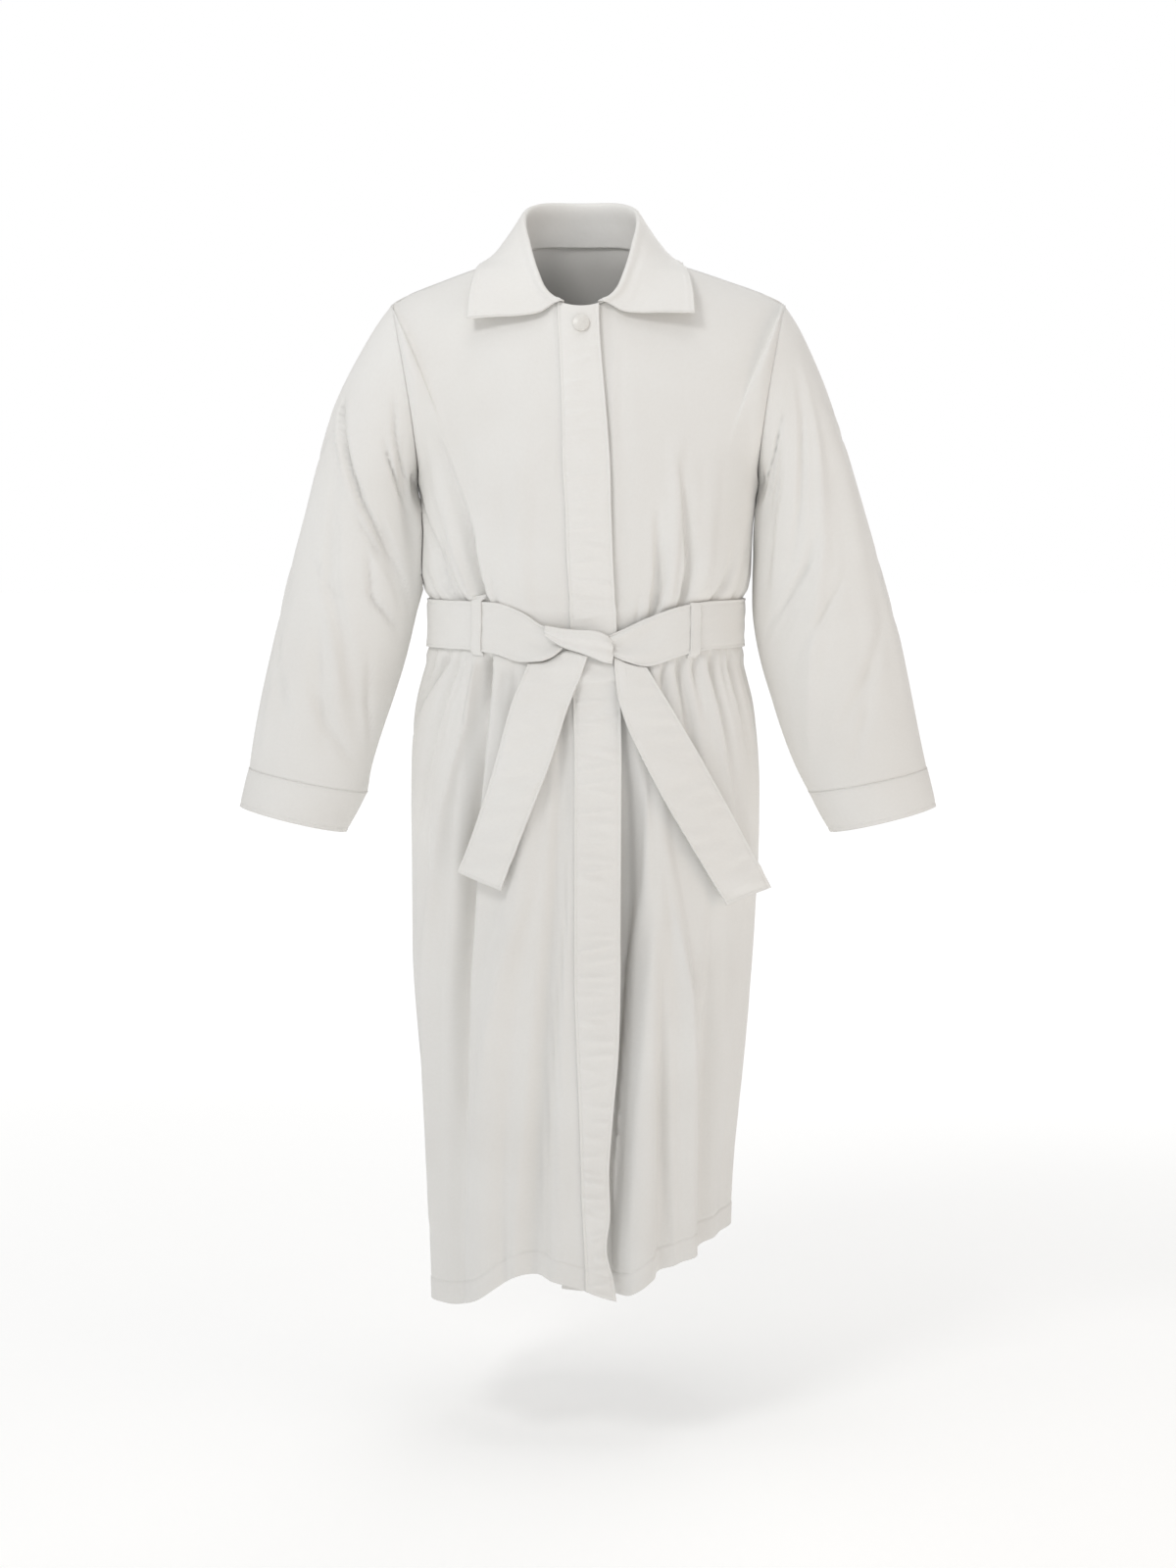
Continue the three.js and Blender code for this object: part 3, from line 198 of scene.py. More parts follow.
def lifted(points, rise):
    return points + normals_of(points) * rise[..., None]


def grid_of(columns):
    return np.array(columns, float).transpose(1, 0, 2)


print("a smooth step at a quarter:", round(float(soft(0.25)), 4))

# %% [markdown]
# ## The body's form
# A robe on a wearer is a tube of cloth that is widest at the shoulders and skirt and drawn in at the belt.
# Rings, as in boat building, give that tube: each ring is a squared ellipse with its own half width and
# depths. The belt isn't level, so the rows of cloth near it dip in front with the waistline.

# %% Body sizes
LAYER = {"over": (1.6, 1.0), "under": (4.4, 3.6)}  # how far inside the form: under the belt, and elsewhere
CHEST_RING, BELT_Z, BELT_WIDTH = -312, -448, 56
ABOVE_BELT, BELOW_BELT = BELT_Z + 80, BELT_Z - 60  # between these the rows dip with the belt
SEAM_GAP, BELT_LIFT = 0.3, 0.8  # between pieces, and between the belt and the body
CLOTH_WALL, BAND_WALL, COLLAR_WALL, BELT_WALL, CUFF_WALL, LOOP_WALL = 1.3, 1.2, 2.0, 2.5, 2.4, 1.2
NECK_X, NECK_Y, NECK_HALF, NECK_FRONT, NECK_BACK, NECK_DROP, NECK_POWER = -8, -8, 72, 74, 66, 82, 1.9
ARMHOLE_Z, ARMHOLE_HALF, ARMHOLE_DEPTH, ARMHOLE_X, ARMHOLE_LEAN, ARMHOLE_POWER = -172, 98, 70, 200, 30, 1.6

# height, half width, depth in front, depth behind, squareness, shift to the wearer's left
RINGS = [
    (-1290, 176, 160, 162, 2.15, -12), (-1123, 183, 158, 158, 2.15, -13), (-1001, 192, 155, 154, 2.15, -11),
    (-881, 203, 152, 150, 2.2, -9), (-761, 209, 149, 146, 2.2, -4), (-650, 210, 143, 140, 2.2, -3),
    (-560, 205, 134, 128, 2.2, -4), (-510, 194, 126, 115, 2.2, -4), (-480, 187, 122, 108, 2.2, -3),
    (-425, 186, 122, 108, 2.2, -2), (-396, 191, 127, 115, 2.2, -2), (-350, 191, 130, 120, 2.2, -1),
    (-312, 193, 129, 121, 2.25, 0), (-270, 199, 126, 120, 2.3, 0),
]
SIDE, FRONT, BEHIND, SQUARENESS, SHIFT = range(1, 6)
# distance from the middle, y, height
SHOULDER = [
    (72, -8, -21), (104, -6.4, -27), (140, -4.6, -38), (185, -2.3, -54), (212, -0.9, -64), (230, 0, -74),
]
WAIST_DIP = [(0, 19), (18, 19), (32, 15), (46, 4), (62, 0), (180, 0)]  # angle from the front, dip

# angle from the front, height of the hem
HEM_OVER = [
    (-90, -1249), (-79, -1258), (-61, -1257), (-48, -1246), (-40, -1236), (-33, -1219), (-24, -1205),
    (-12, -1206), (0, -1216), (8, -1225), (16, -1233),
]
HEM_UNDER = [
    (-16, -1222), (8, -1228), (19, -1230), (24, -1223), (30, -1212), (37, -1205), (45, -1197), (55, -1187),
    (70, -1177), (90, -1166),
]
HEM_BACK = [
    (90, -1166), (110, -1182), (135, -1205), (160, -1222), (180, -1226), (200, -1238), (225, -1240),
    (250, -1251), (270, -1249),
]

# The strip down the closing: height, free edge, sewn inner line
PLACKET = [
    (-1290, 34, -4), (-1222, 33, -3), (-1172, 22, -5), (-1106, 27, -8), (-1060, 24, -9), (-975, 33, -12),
    (-850, 38, -16), (-583, 38, -16), (-442, 34, -20), (-300, 26, -27), (-176, 17.5, -32), (-136, 15.5, -34),
    (-78, 12.5, -35),
]

# The deep fold beside the closing: height, angle of its outer lip, how far the cloth goes in
LIP_WIDTH, COVERED_DEPTH = 5.5, 1.6
DEEP_FOLD = [
    (-1290, 19, 22), (-1172, 18, 22), (-1075, 20, 22.5), (-923, 24, 24), (-809, 27.5, 27), (-741, 28, 26),
    (-662, 27, 21), (-600, 24, 11), (-539, 22, 4), (-480, 22, 0), (-60, 22, 0),
]

# Columns of a front from the closing to the side seam, and of the back from there to its middle: angle at the
# waist, and place along the top edge, where 0 to 1 is the neck, 1 to 2 the shoulder and 2 to 3 the armhole.
FRONT_COLUMNS = [
    (21, 0.36), (25, 0.52), (29, 0.68), (32, 0.84), (35, 1), (38, 1.12), (41, 1.24), (44, 1.36), (47, 1.48),
    (50, 1.6), (53, 1.72), (56, 1.85), (59, 2), (62, 2.1), (65, 2.2), (68, 2.3), (71, 2.4), (74.5, 2.52),
    (78, 2.65), (82, 2.77), (86, 2.89), (90, 3),
]
BACK_COLUMNS = [
    (90, 3), (94.5, 2.88), (99, 2.75), (103.5, 2.62), (108, 2.5), (112, 2.38), (116, 2.26), (120.5, 2.13),
    (125, 2), (130, 1.8), (135, 1.6), (140, 1.4), (145, 1.2), (150, 1), (155, 0.84), (160, 0.68), (165, 0.51),
    (170, 0.34), (175, 0.17), (180, 0),
]
UNDER_EDGE_X, COVERED_CELLS, PLACKET_CELLS = -36, 7, 4
YOKE_STEPS = [1, 0.92, 0.82, 0.71, 0.59, 0.46, 0.32, 0.16]
LEAVING, ARRIVING, EASINGS = 1.15, 0.85, 14  # how strongly cloth keeps its way at its ends, easing rounds
BODY_ROWS = [
    -312, -338, -364, -387, -404, -420, -448, -476, -492, -512, -542, -582, -634, -700, -775, -855, -935,
    -1010, -1075, -1130, -1172, -1205, -1230,
]
HEM_LEVEL = BODY_ROWS[-1]
print("body:", len(RINGS), "rings,", len(YOKE_STEPS) + len(BODY_ROWS), "rows")


# %% Body form
def reach(angle, z):
    """Distance of the plain form from its middle."""
    a = np.radians(angle)
    power = read(RINGS, z, SQUARENESS)
    depth = np.where(np.cos(a) > 0, read(RINGS, z, FRONT), read(RINGS, z, BEHIND))
    sideways, forwards = np.abs(np.sin(a)) / read(RINGS, z, SIDE), np.abs(np.cos(a)) / depth
    return (sideways**power + forwards**power) ** (-1 / power)


def outward(angle):
    a = np.radians(np.asarray(angle, float))
    return np.stack([np.sin(a), -np.cos(a), np.zeros_like(a)], axis=-1)


def on_form(angle, z, lift):
    angle, z = np.broadcast_arrays(np.asarray(angle, float), np.asarray(z, float))
    p = outward(angle) * (reach(angle, z) + lift)[..., None]
    p[..., 0] += read(RINGS, z, SHIFT)
    p[..., 2] = z
    return p


def angle_of_x(x, z):
    """Angle of the point of the front that has a given x at a height."""
    angle = np.zeros(np.broadcast(x, z).shape)
    for _ in range(12):
        angle = np.degrees(np.arcsin(np.clip((x - read(RINGS, z, SHIFT)) / reach(angle, z), -0.95, 0.95)))
    return angle


def on_front(x, z, level, lift):
    """A point of the front given by x and z, whose distance out is read at another level."""
    p = on_form(angle_of_x(x, level), level, lift)
    p[..., 2] = z
    return p


def belt_sag(angle):
    return -read(WAIST_DIP, np.abs((np.asarray(angle, float) + 540) % 360 - 180), 1)


def pressed(level):
    """How hard the belt presses at a level, 1 under it and 0 away from it."""
    half = BELT_WIDTH / 2
    return 1 - soft((np.abs(level - BELT_Z) - half + 3) / 17)


def row_height(row, angle, hem):
    """A row dips with the belt, and the lowest one is the hem."""
    sag = belt_sag(angle)
    if row > ABOVE_BELT:
        return row + sag * (1 - soft((row - ABOVE_BELT) / 60))
    if row > BELOW_BELT:
        return row + sag
    return mix(BELOW_BELT + sag, hem, (BELOW_BELT - row) / (BELOW_BELT - HEM_LEVEL))


def neck_point(psi):
    """A point of the neck seam at an angle round the neck, 0 in front."""
    c, s = math.cos(math.radians(psi)), math.sin(math.radians(psi))
    depth = NECK_FRONT if c > 0 else NECK_BACK
    return np.array([NECK_X + NECK_HALF * s, NECK_Y - depth * c, -NECK_DROP * ((1 + c) / 2) ** NECK_POWER])


def neck_psi(x):
    return math.degrees(math.asin((x - NECK_X) / NECK_HALF))


def shoulder_point(side, t):
    first, tip = SHOULDER[0][0], SHOULDER[-1][0]
    along = mix(first, tip, t)
    x = mix(first + side * NECK_X, tip, t)
    return np.array([side * x, float(read(SHOULDER, along, 1)), float(read(SHOULDER, along, 2))])


def armhole_point(side, face, t):
    """Face is -1 in front and 1 behind; t runs from the shoulder tip to the armpit."""
    c, s = math.cos(math.pi * t), math.sin(math.pi * t)
    lean = ARMHOLE_LEAN * ((1 + c) / 2) ** ARMHOLE_POWER
    return np.array([side * (ARMHOLE_X + lean), face * ARMHOLE_DEPTH * s, ARMHOLE_Z + ARMHOLE_HALF * c])


def top_edge(side, face, top):
    """Point on the top edge of a half panel, and the way the cloth arrives there."""
    if top <= 1:
        psi = 90 * top if face < 0 else 180 - 90 * top
        return neck_point(side * psi), unit(np.array([0, -face * mix(0.42, 0.8, top), mix(1, 0.5, top)]))
    if top <= 2:
        return shoulder_point(side, top - 1), unit(np.array([0, -face, mix(0.45, 0.3, top - 1)]))
    phi = math.pi * (top - 2)
    forwards, upwards = -face * (1 + math.cos(phi)) / 2, mix(0.18, 1, math.sin(phi / 2))
    return armhole_point(side, face, top - 2), unit(np.array([0.5 * side * math.sin(phi), forwards, upwards]))


print("waist round the form:", [round(float(v)) for v in reach(np.array([0, 90, 180]), BELT_Z)], "mm")

# %% [markdown]
# ## Folds
# Where the belt draws the cloth in, it gathers into short tucks, and below them it hangs in long soft
# folds. Cloth simulation could find such folds, but not these ones at these places, so each is given
# one by one: a path down the cloth with a width and a height, where a trough has a negative height. The
# same few lines lay every fold.

# %% Folds of the body
FOLD_RADIUS, FOLD_END = 165, 14
BLOUSE, BLOUSE_TOP, BLOUSE_FOOT = 6.0, -245, -422  # how far the cloth hangs out above the belt, and where
BELT_ROLL, BELT_ROLL_PLACE = 2.6, 37  # how far it swells beside the belt, and how far from its middle
CREASE, CREASE_END, UNEVEN, CRUMPLED = 1.5, 10, 1.1, 0.4  # scales of the fine form
HEM_STEP, HEM_GROOVE = 0.5, 0.8
SEAM_COLUMNS, TOP_EASE = 5, 45  # the fine form fades this many columns from a seam and this far from the top
# Each fold has its heights, then the angle, half width and rise at each of them.
BODY_FOLDS = [
    ((-424, -345, -232), (-50, -55, -66), (10, 12, 14), (-7, -6, -2)),
    ((-424, -360, -285), (-61, -70, -88), (10, 12, 12), (-6, -5, -2)),
    ((-420, -340, -230), (-57, -62, -74), (9, 12, 16), (2, 4, 2)),
    ((-420, -340, -200), (-30, -32, -34), (16, 20, 24), (2, 4, 1)),
    ((-424, -370, -310), (35, 36, 34), (9, 10, 10), (-7, -6, -1)),
    ((-424, -360, -228), (41, 41, 42), (9, 10, 14), (3, 5, 2)),
    ((-424, -371, -250), (48, 49, 44), (9, 10, 12), (-7, -5, -1)),
    ((-424, -371, -250), (54, 55, 56), (9, 12, 14), (2, 4, 1)),
    ((-424, -400, -345), (61, 65, 70), (9, 10, 11), (-6, -5, -1)),
    ((-424, -395, -340), (73, 76, 80), (9, 10, 11), (-5, -4, -1)),
    ((-486, -660, -1290), (-56, -61, -72), (11, 18, 28), (3, 8, 8)),
    ((-484, -745, -1290), (-48, -50, -56), (9, 15, 22), (-10, -17, -8)),
    ((-484, -530, -590), (-66, -76, -90), (9, 11, 12), (-7, -5, -1)),
    ((-484, -600, -720), (-62, -69, -78), (8, 12, 14), (-5, -5, -1)),
    ((-484, -560, -650), (-76, -80, -84), (9, 12, 14), (-6, -5, -1)),
    ((-484, -560, -660), (-36, -34, -31), (9, 12, 12), (-6, -5, -1)),
    ((-560, -900, -1290), (-20, -36, -42), (14, 27, 34), (2, 12, 12)),
    ((-520, -870, -1290), (-11, -14, -20), (8, 17, 30), (-3, -13, -20)),
    ((-700, -960, -1290), (-82, -84, -86), (16, 24, 26), (-2, -7, -8)),
    ((-484, -545, -640), (32, 32, 31), (9, 10, 10), (-7, -5, -1)),
    ((-484, -525, -580), (40, 39, 38), (8, 9, 9), (-5, -3, -1)),
    ((-484, -570, -690), (47, 48, 50), (9, 11, 12), (-7, -6, -1)),
    ((-484, -530, -580), (53.5, 54, 55), (8, 9, 9), (-5, -3, -1)),
    ((-484, -575, -700), (61, 63, 66), (9, 12, 14), (-7, -6, -1)),
    ((-484, -545, -620), (71, 73, 75), (9, 10, 10), (-7, -5, -1)),
    ((-484, -545, -620), (81, 83, 85), (9, 10, 10), (-6, -4, -1)),
    ((-486, -580, -720), (57, 61, 66), (9, 12, 14), (2, 5, 1)),
    ((-700, -870, -1290), (35, 45, 52), (10, 12, 16), (2, 9, 8)),
    ((-740, -909, -1290), (55, 57, 60), (16, 20, 24), (-2, -10, -6)),
    ((-600, -854, -1290), (33.5, 31.5, 26.5), (15, 20, 27), (2, 8, 11)),
    ((-800, -1065, -1290), (33, 37, 38), (12, 14, 18), (-2, -8, -10)),
    ((-700, -960, -1290), (75, 78, 80), (18, 24, 26), (2, 8, 9)),
    ((-424, -360, -240), (112, 116, 122), (12, 14, 16), (-6, -5, -2)),
    ((-424, -370, -290), (132, 134, 138), (12, 13, 14), (-6, -5, -1)),
    ((-424, -350, -240), (154, 157, 160), (12, 14, 16), (-6, -5, -1)),
    ((-424, -370, -280), (184, 183, 181), (12, 13, 14), (-5, -5, -1)),
    ((-424, -360, -250), (207, 205, 203), (12, 14, 16), (-6, -5, -1)),
    ((-424, -370, -290), (230, 228, 224), (12, 13, 14), (-6, -4, -1)),
    ((-424, -360, -240), (250, 247, 241), (12, 14, 16), (-6, -5, -2)),
    ((-484, -560, -680), (101, 102, 104), (11, 13, 14), (-8, -6, -1)),
    ((-484, -580, -760), (122, 124, 127), (11, 13, 15), (-9, -8, -2)),
    ((-484, -560, -660), (140, 141, 143), (11, 12, 13), (-8, -6, -1)),
    ((-484, -600, -820), (160, 161, 163), (11, 14, 16), (-9, -9, -2)),
    ((-484, -560, -640), (178, 178, 179), (11, 12, 13), (-7, -6, -1)),
    ((-484, -600, -800), (199, 198, 196), (11, 14, 16), (-9, -8, -2)),
    ((-484, -560, -660), (217, 216, 214), (11, 12, 13), (-8, -6, -1)),
    ((-484, -590, -760), (238, 236, 233), (11, 13, 15), (-9, -8, -2)),
    ((-484, -560, -680), (258, 257, 255), (11, 13, 14), (-8, -6, -1)),
    ((-620, -900, -1290), (112, 110, 108), (18, 26, 30), (2, 9, 11)),
    ((-640, -930, -1290), (131, 130, 129), (16, 24, 28), (-2, -10, -13)),
    ((-620, -900, -1290), (150, 149, 148), (18, 26, 30), (2, 10, 13)),
    ((-660, -940, -1290), (169, 170, 171), (16, 26, 30), (-2, -11, -14)),
    ((-620, -900, -1290), (190, 191, 192), (18, 26, 30), (2, 10, 13)),
    ((-640, -930, -1290), (211, 212, 213), (16, 26, 30), (-2, -10, -13)),
    ((-620, -900, -1290), (232, 234, 236), (18, 26, 30), (2, 9, 12)),
    ((-660, -940, -1290), (252, 253, 254), (16, 22, 26), (-2, -7, -9)),
]

# Fine creases over the folds, in the same form, with crisper bottoms.
BODY_CREASES = [
    # wearer's right front, above the belt
    ((-424, -388, -337, -281, -236), (-49, -51.5, -56, -61, -66), (6, 7, 9, 10, 8),
     (-11, -10.5, -7.5, -4.5, -0.5)),
    ((-424, -402, -372, -340), (-58, -61, -65, -69), (5, 6, 7, 8), (-8, -7, -4.5, -0.6)),
    ((-424, -392, -350, -300), (-54, -56.5, -61, -65), (5, 6, 7, 8), (3, 4, 3, 0.5)),
    ((-422, -360, -322, -292), (-63, -70, -80, -89), (6, 7, 8, 8), (-4, -3.5, -2.5, -0.5)),
    ((-422, -400, -378), (-44, -44.5, -46), (5, 6, 6), (-3, -2, -0.4)),
    ((-424, -398, -372), (-72, -75, -79), (5, 6, 7), (-4, -3, -0.5)),
    ((-424, -404, -384), (-80, -83, -87), (5, 6, 7), (-3, -2.4, -0.4)),
    ((-225, -300, -360), (-54, -54, -52), (14, 18, 12), (-1.5, -2.2, -0.8)),
    # wearer's left front, above the belt
    ((-427, -393, -359, -315), (36, 37, 36, 34), (6, 8, 9, 9), (-6.5, -5.5, -3.4, -0.5)),
    ((-418, -371, -299, -256), (48, 49, 45, 43), (6, 8, 9, 9), (-7, -6, -3.4, -0.5)),
    ((-417, -400, -372), (61, 65, 68), (5, 6, 7), (-4, -3, -0.6)),
    ((-412, -383), (72, 75), (5, 7), (-4, -0.8)),
    ((-420, -392, -366), (80, 82, 84), (5, 6, 7), (-3, -2.4, -0.4)),
    ((-121, -182, -259, -359), (20, 16, 14, 15), (12, 16, 16, 12), (0.6, 1.6, 1.8, 0.8)),
    ((-424, -408, -392), (27, 27.5, 28), (5, 6, 6), (-2.4, -1.6, -0.3)),
    # wearer's right side of the skirt
    ((-486, -559, -660, -819, -986, -1166), (-53, -53, -59, -65, -68, -69), (7, 8, 11, 12, 13, 14),
     (5, 6, 5, 4, 3, 2)),
    ((-484, -558, -658, -745, -860, -989, -1094), (-47.5, -46, -48, -50, -51, -52, -51),
     (6.5, 7.5, 10, 12, 13, 14, 14), (-12, -14, -13, -11, -8, -5, -1)),
    ((-484, -530, -574), (-67, -76, -90), (5, 6, 7), (-4, -3, -0.6)),
    ((-484, -545, -612, -696), (-61, -65, -70, -76), (5, 6, 7, 8), (-4, -3, -2.4, -0.5)),
    ((-482, -510, -545), (-57, -58, -60), (4.5, 5, 6), (-3.4, -2.4, -0.4)),
    ((-486, -520, -560), (-40, -39, -38), (5, 6, 7), (-3, -2.2, -0.4)),
    ((-484, -520, -575), (-74, -80, -88), (5, 6, 7), (-3, -2.4, -0.4)),
    ((-583, -740, -854, -968, -1084, -1188), (-8, -9.5, -11, -14, -16, -14), (7, 8, 9, 10, 11, 10),
     (-2, -3.4, -3.6, -3.6, -3.4, -2)),
    ((-700, -810, -926, -1044, -1150), (-20, -30, -38, -43, -46), (12, 14, 15, 16, 14),
     (0.6, 2.2, 2.6, 2.2, 0.6)),
    ((-900, -1010, -1130, -1230), (-29, -30, -31, -30), (10, 13, 15, 14), (-0.6, -2, -3, -3)),
    # wearer's left side of the skirt
    ((-478, -530, -590), (32, 32, 31.5), (5, 6, 7), (-3.6, -2.8, -0.5)),
    ((-478, -520, -570), (40, 39, 38), (4.5, 5.5, 6.5), (-3, -2, -0.5)),
    ((-478, -560, -670), (47, 48, 50), (5, 7, 8), (-4, -3.4, -0.5)),
    ((-478, -515, -560), (53.5, 54, 55), (4, 5, 6), (-3, -2, -0.5)),
    ((-478, -570, -690), (61, 63, 66), (5, 7, 9), (-4, -3.6, -0.5)),
    ((-478, -530, -600), (71, 72.5, 74), (4.5, 6, 7), (-4, -3, -0.5)),
    ((-478, -520, -575), (80, 82, 85), (4.5, 6, 7), (-3.4, -2.6, -0.4)),
    ((-480, -510, -548), (66, 66.5, 67), (4, 5, 6), (-2.6, -2, -0.3)),
    ((-753, -811, -870, -1047, -1160), (36, 41, 45, 50, 52), (6, 7, 8, 10, 10), (0.8, 2.4, 2.8, 2.4, 0.6)),
    ((-792, -909, -1051, -1180), (55, 57, 58, 60), (8, 11, 13, 13), (-0.6, -2.6, -3, -1)),
    ((-856, -950, -1065, -1196), (35, 36.5, 38, 42), (7, 9, 10, 10), (-0.8, -2.6, -3.2, -1.6)),
    ((-628, -741, -854, -969, -1083, -1211), (28, 28, 25, 22, 18, 19), (5, 6, 7, 8, 8, 9),
     (1.5, 4, 4.6, 4.6, 4, 2.6)),
    ((-640, -700, -780), (70, 71, 73), (10, 13, 12), (0.6, 1.8, 0.5)),
    # back, above and below the belt
    ((-424, -380, -320), (101, 103, 106), (5, 6, 8), (-4, -3, -0.4)),
    ((-424, -372, -300), (119, 122, 127), (5, 7, 8), (-4.4, -3.2, -0.5)),
    ((-424, -385, -340), (126, 128, 131), (5, 6, 7), (-3.4, -2.4, -0.4)),
    ((-424, -370, -290), (143, 145, 148), (5, 7, 8), (-4.4, -3.2, -0.5)),
    ((-424, -390, -350), (149, 150, 152), (5, 6, 7), (-3, -2.2, -0.4)),
    ((-424, -360, -280), (168, 170, 172), (5, 7, 9), (-4.4, -3.4, -0.5)),
    ((-424, -385, -345), (176, 176, 177), (5, 6, 7), (-3.2, -2.4, -0.4)),
    ((-424, -370, -300), (194, 193, 191), (5, 7, 8), (-4, -3, -0.5)),
    ((-424, -392, -356), (201, 200, 199), (5, 6, 7), (-3.2, -2.2, -0.4)),
    ((-424, -365, -280), (217, 215, 212), (5, 7, 9), (-4.4, -3.2, -0.5)),
    ((-424, -388, -345), (224, 223, 221), (5, 6, 7), (-3, -2.2, -0.4)),
    ((-424, -372, -305), (240, 238, 235), (5, 7, 8), (-4, -3, -0.5)),
    ((-424, -385, -330), (258, 256, 253), (5, 6, 8), (-3.6, -2.6, -0.4)),
    ((-482, -530, -610), (95, 95, 96), (5, 6, 8), (-4, -3, -0.5)),
    ((-482, -560, -660), (108, 109, 110), (5, 7, 9), (-4.6, -3.4, -0.5)),
    ((-482, -530, -600), (116, 117, 118), (5, 6, 8), (-3.6, -2.6, -0.4)),
    ((-482, -580, -720), (131, 132, 133), (5, 8, 10), (-4.6, -3.6, -0.5)),
    ((-482, -540, -620), (150, 150, 151), (5, 7, 9), (-4, -3, -0.4)),
    ((-482, -580, -730), (170, 170, 171), (5, 8, 10), (-4.6, -3.4, -0.5)),
    ((-482, -530, -600), (188, 188, 187), (5, 6, 8), (-3.8, -2.8, -0.4)),
    ((-482, -570, -700), (208, 207, 206), (5, 8, 10), (-4.6, -3.4, -0.5)),
    ((-482, -540, -620), (227, 226, 225), (5, 7, 9), (-4, -3, -0.4)),
    ((-482, -570, -680), (247, 246, 245), (5, 7, 9), (-4.4, -3.2, -0.5)),
    ((-482, -530, -600), (264, 263, 262), (5, 6, 8), (-3.6, -2.6, -0.4)),
]


def fold_rise(folds, angle, z, radius=FOLD_RADIUS, end=FOLD_END, lowest=HEM_LEVEL, crisp=False):
    """Height of all the folds at an angle and a place along them.

    A fold that ends past the lowest row runs out of it at its full height.
    """
    total = np.zeros(np.broadcast(angle, z).shape)
    for along, around, width, rise in folds:
        heights = np.array(along, float)
        order = np.argsort(heights)
        keys = heights[order]
        at = [np.interp(z, keys, np.array(column, float)[order]) for column in (around, width, rise)]
        turn = (angle - at[0] + 540) % 360 - 180
        across = np.clip(np.abs(np.radians(turn)) * radius / at[1], 0, 1)
        profile = (1 - across) ** 2 * (1 + 0.8 * across) if crisp else (1 - across**2) ** 2
        start = soft((keys[-1] + end - z) / (2 * end))
        finish = 1.0 if keys[0] < lowest else soft((z - keys[0] + end) / (2 * end))
        total += at[2] * profile * start * finish
    return total


def undulation(u, v, seed, waves=9, longest=260.0, shortest=60.0, stretch=2.2):
    """Shallow unevenness of hung cloth, between -1 and 1, from a few long waves of random direction."""
    draw = np.random.default_rng(seed)
    total = np.zeros(np.broadcast(u, v).shape)
    for _ in range(waves):
        length = math.exp(draw.uniform(math.log(shortest), math.log(longest)))
        turn, phase = draw.uniform(0, math.pi), draw.uniform(0, 2 * math.pi)
        total += np.sin((u * math.cos(turn) + v * math.sin(turn) / stretch) * 2 * math.pi / length + phase)
    return total / waves


print(len(BODY_FOLDS), "folds and", len(BODY_CREASES), "creases")

# %% [markdown]
# ## Laying a grid of cloth
# Each piece of cloth is a flat grid that bmesh makes, whose vertices are then moved to the places worked
# out for them, as if a cut piece were laid on a form. Its UV map is unrolled cloth in metres, so that the
# weave keeps its size and turns with the cloth. Solidify gives it a real thickness on the inside, like the
# wall of its solid.


# %% Cloth pieces
def flat_grid(points):
    """A grid mesh with its vertices at the points, in millimetres, and a UV map of the unrolled cloth."""
    rows, columns = points.shape[:2]
    bm = bmesh.new()
    bmesh.ops.create_grid(bm, x_segments=columns - 1, y_segments=rows - 1, size=0.5)
    mesh = bpy.data.meshes.new("cloth")
    bm.to_mesh(mesh)
    bm.free()
    flat = np.zeros(len(mesh.vertices) * 3)
    mesh.vertices.foreach_get("co", flat)
    flat = flat.reshape(-1, 3)
    row = np.rint((0.5 - flat[:, 1]) * (rows - 1)).astype(int)
    column = np.rint((flat[:, 0] + 0.5) * (columns - 1)).astype(int)
    mesh.vertices.foreach_set("co", (points[row, column] * MM).ravel())
    corner = np.zeros(len(mesh.loops), np.int32)
    mesh.loops.foreach_get("vertex_index", corner)
    along, across = knots_of(points, 0) * MM, knots_of(points, 1) * MM
    uv = mesh.uv_layers.new(name="unrolled")
    uv.data.foreach_set("uv", np.stack([across[column[corner]], -along[row[corner]]], axis=1).ravel())
    return mesh


def put(name, bm, mesh):
    """An object of what bmesh made, shaded smooth, in the one body."""
    for face in bm.faces:
        face.smooth = True
    bm.to_mesh(mesh)
    bm.free()
    piece = bpy.data.objects.new(name, mesh)
    bpy.context.scene.collection.objects.link(piece)
    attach(piece, "root")
    return piece


def cloth(node, points, wall, closed=False):
    """The piece of cloth that stands for a node, with its wall inside the points."""
    mesh = flat_grid(points)
    bm = bmesh.new()
    bm.from_mesh(mesh)
    if closed:
        bmesh.ops.remove_doubles(bm, verts=bm.verts, dist=0.001 * MM)
    piece = put(f"{node}_cloth", bm, mesh)
    thick = piece.modifiers.new("wall", "SOLIDIFY")
    thick.thickness = wall * MM
    thick.offset = -1
    thick.use_quality_normals = True
    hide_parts(node)
    pieces[node], grids[node] = piece, points
    areas[node] = sum(face.area for face in mesh.polygons)
    print(f"{piece.name}: {points.shape[0]} x {points.shape[1]} points, {areas[node]:.4f} square metres")


pieces, grids, areas = {}, {}, {}

# %% [markdown]
# ## Fronts and back
# The two fronts and the back are cut from the hem to the shoulder in one length. Below the chest each
# column of cloth follows the rings; above it the cloth leaves the chest upright and rolls over to the neck,
# shoulder or armhole. The plain form is read finely first and the folds are added after that, so that they
# stay crisp.


# %% Panels
def depth_of(layer, angle, level):
    """How far inside the form a layer lies. The front beneath comes out where nothing covers it."""
    belted, free = (mix(b, o, soft((angle - 28) / 36)) for b, o in zip(LAYER[layer], LAYER["over"]))
    return mix(free, belted, pressed(level))


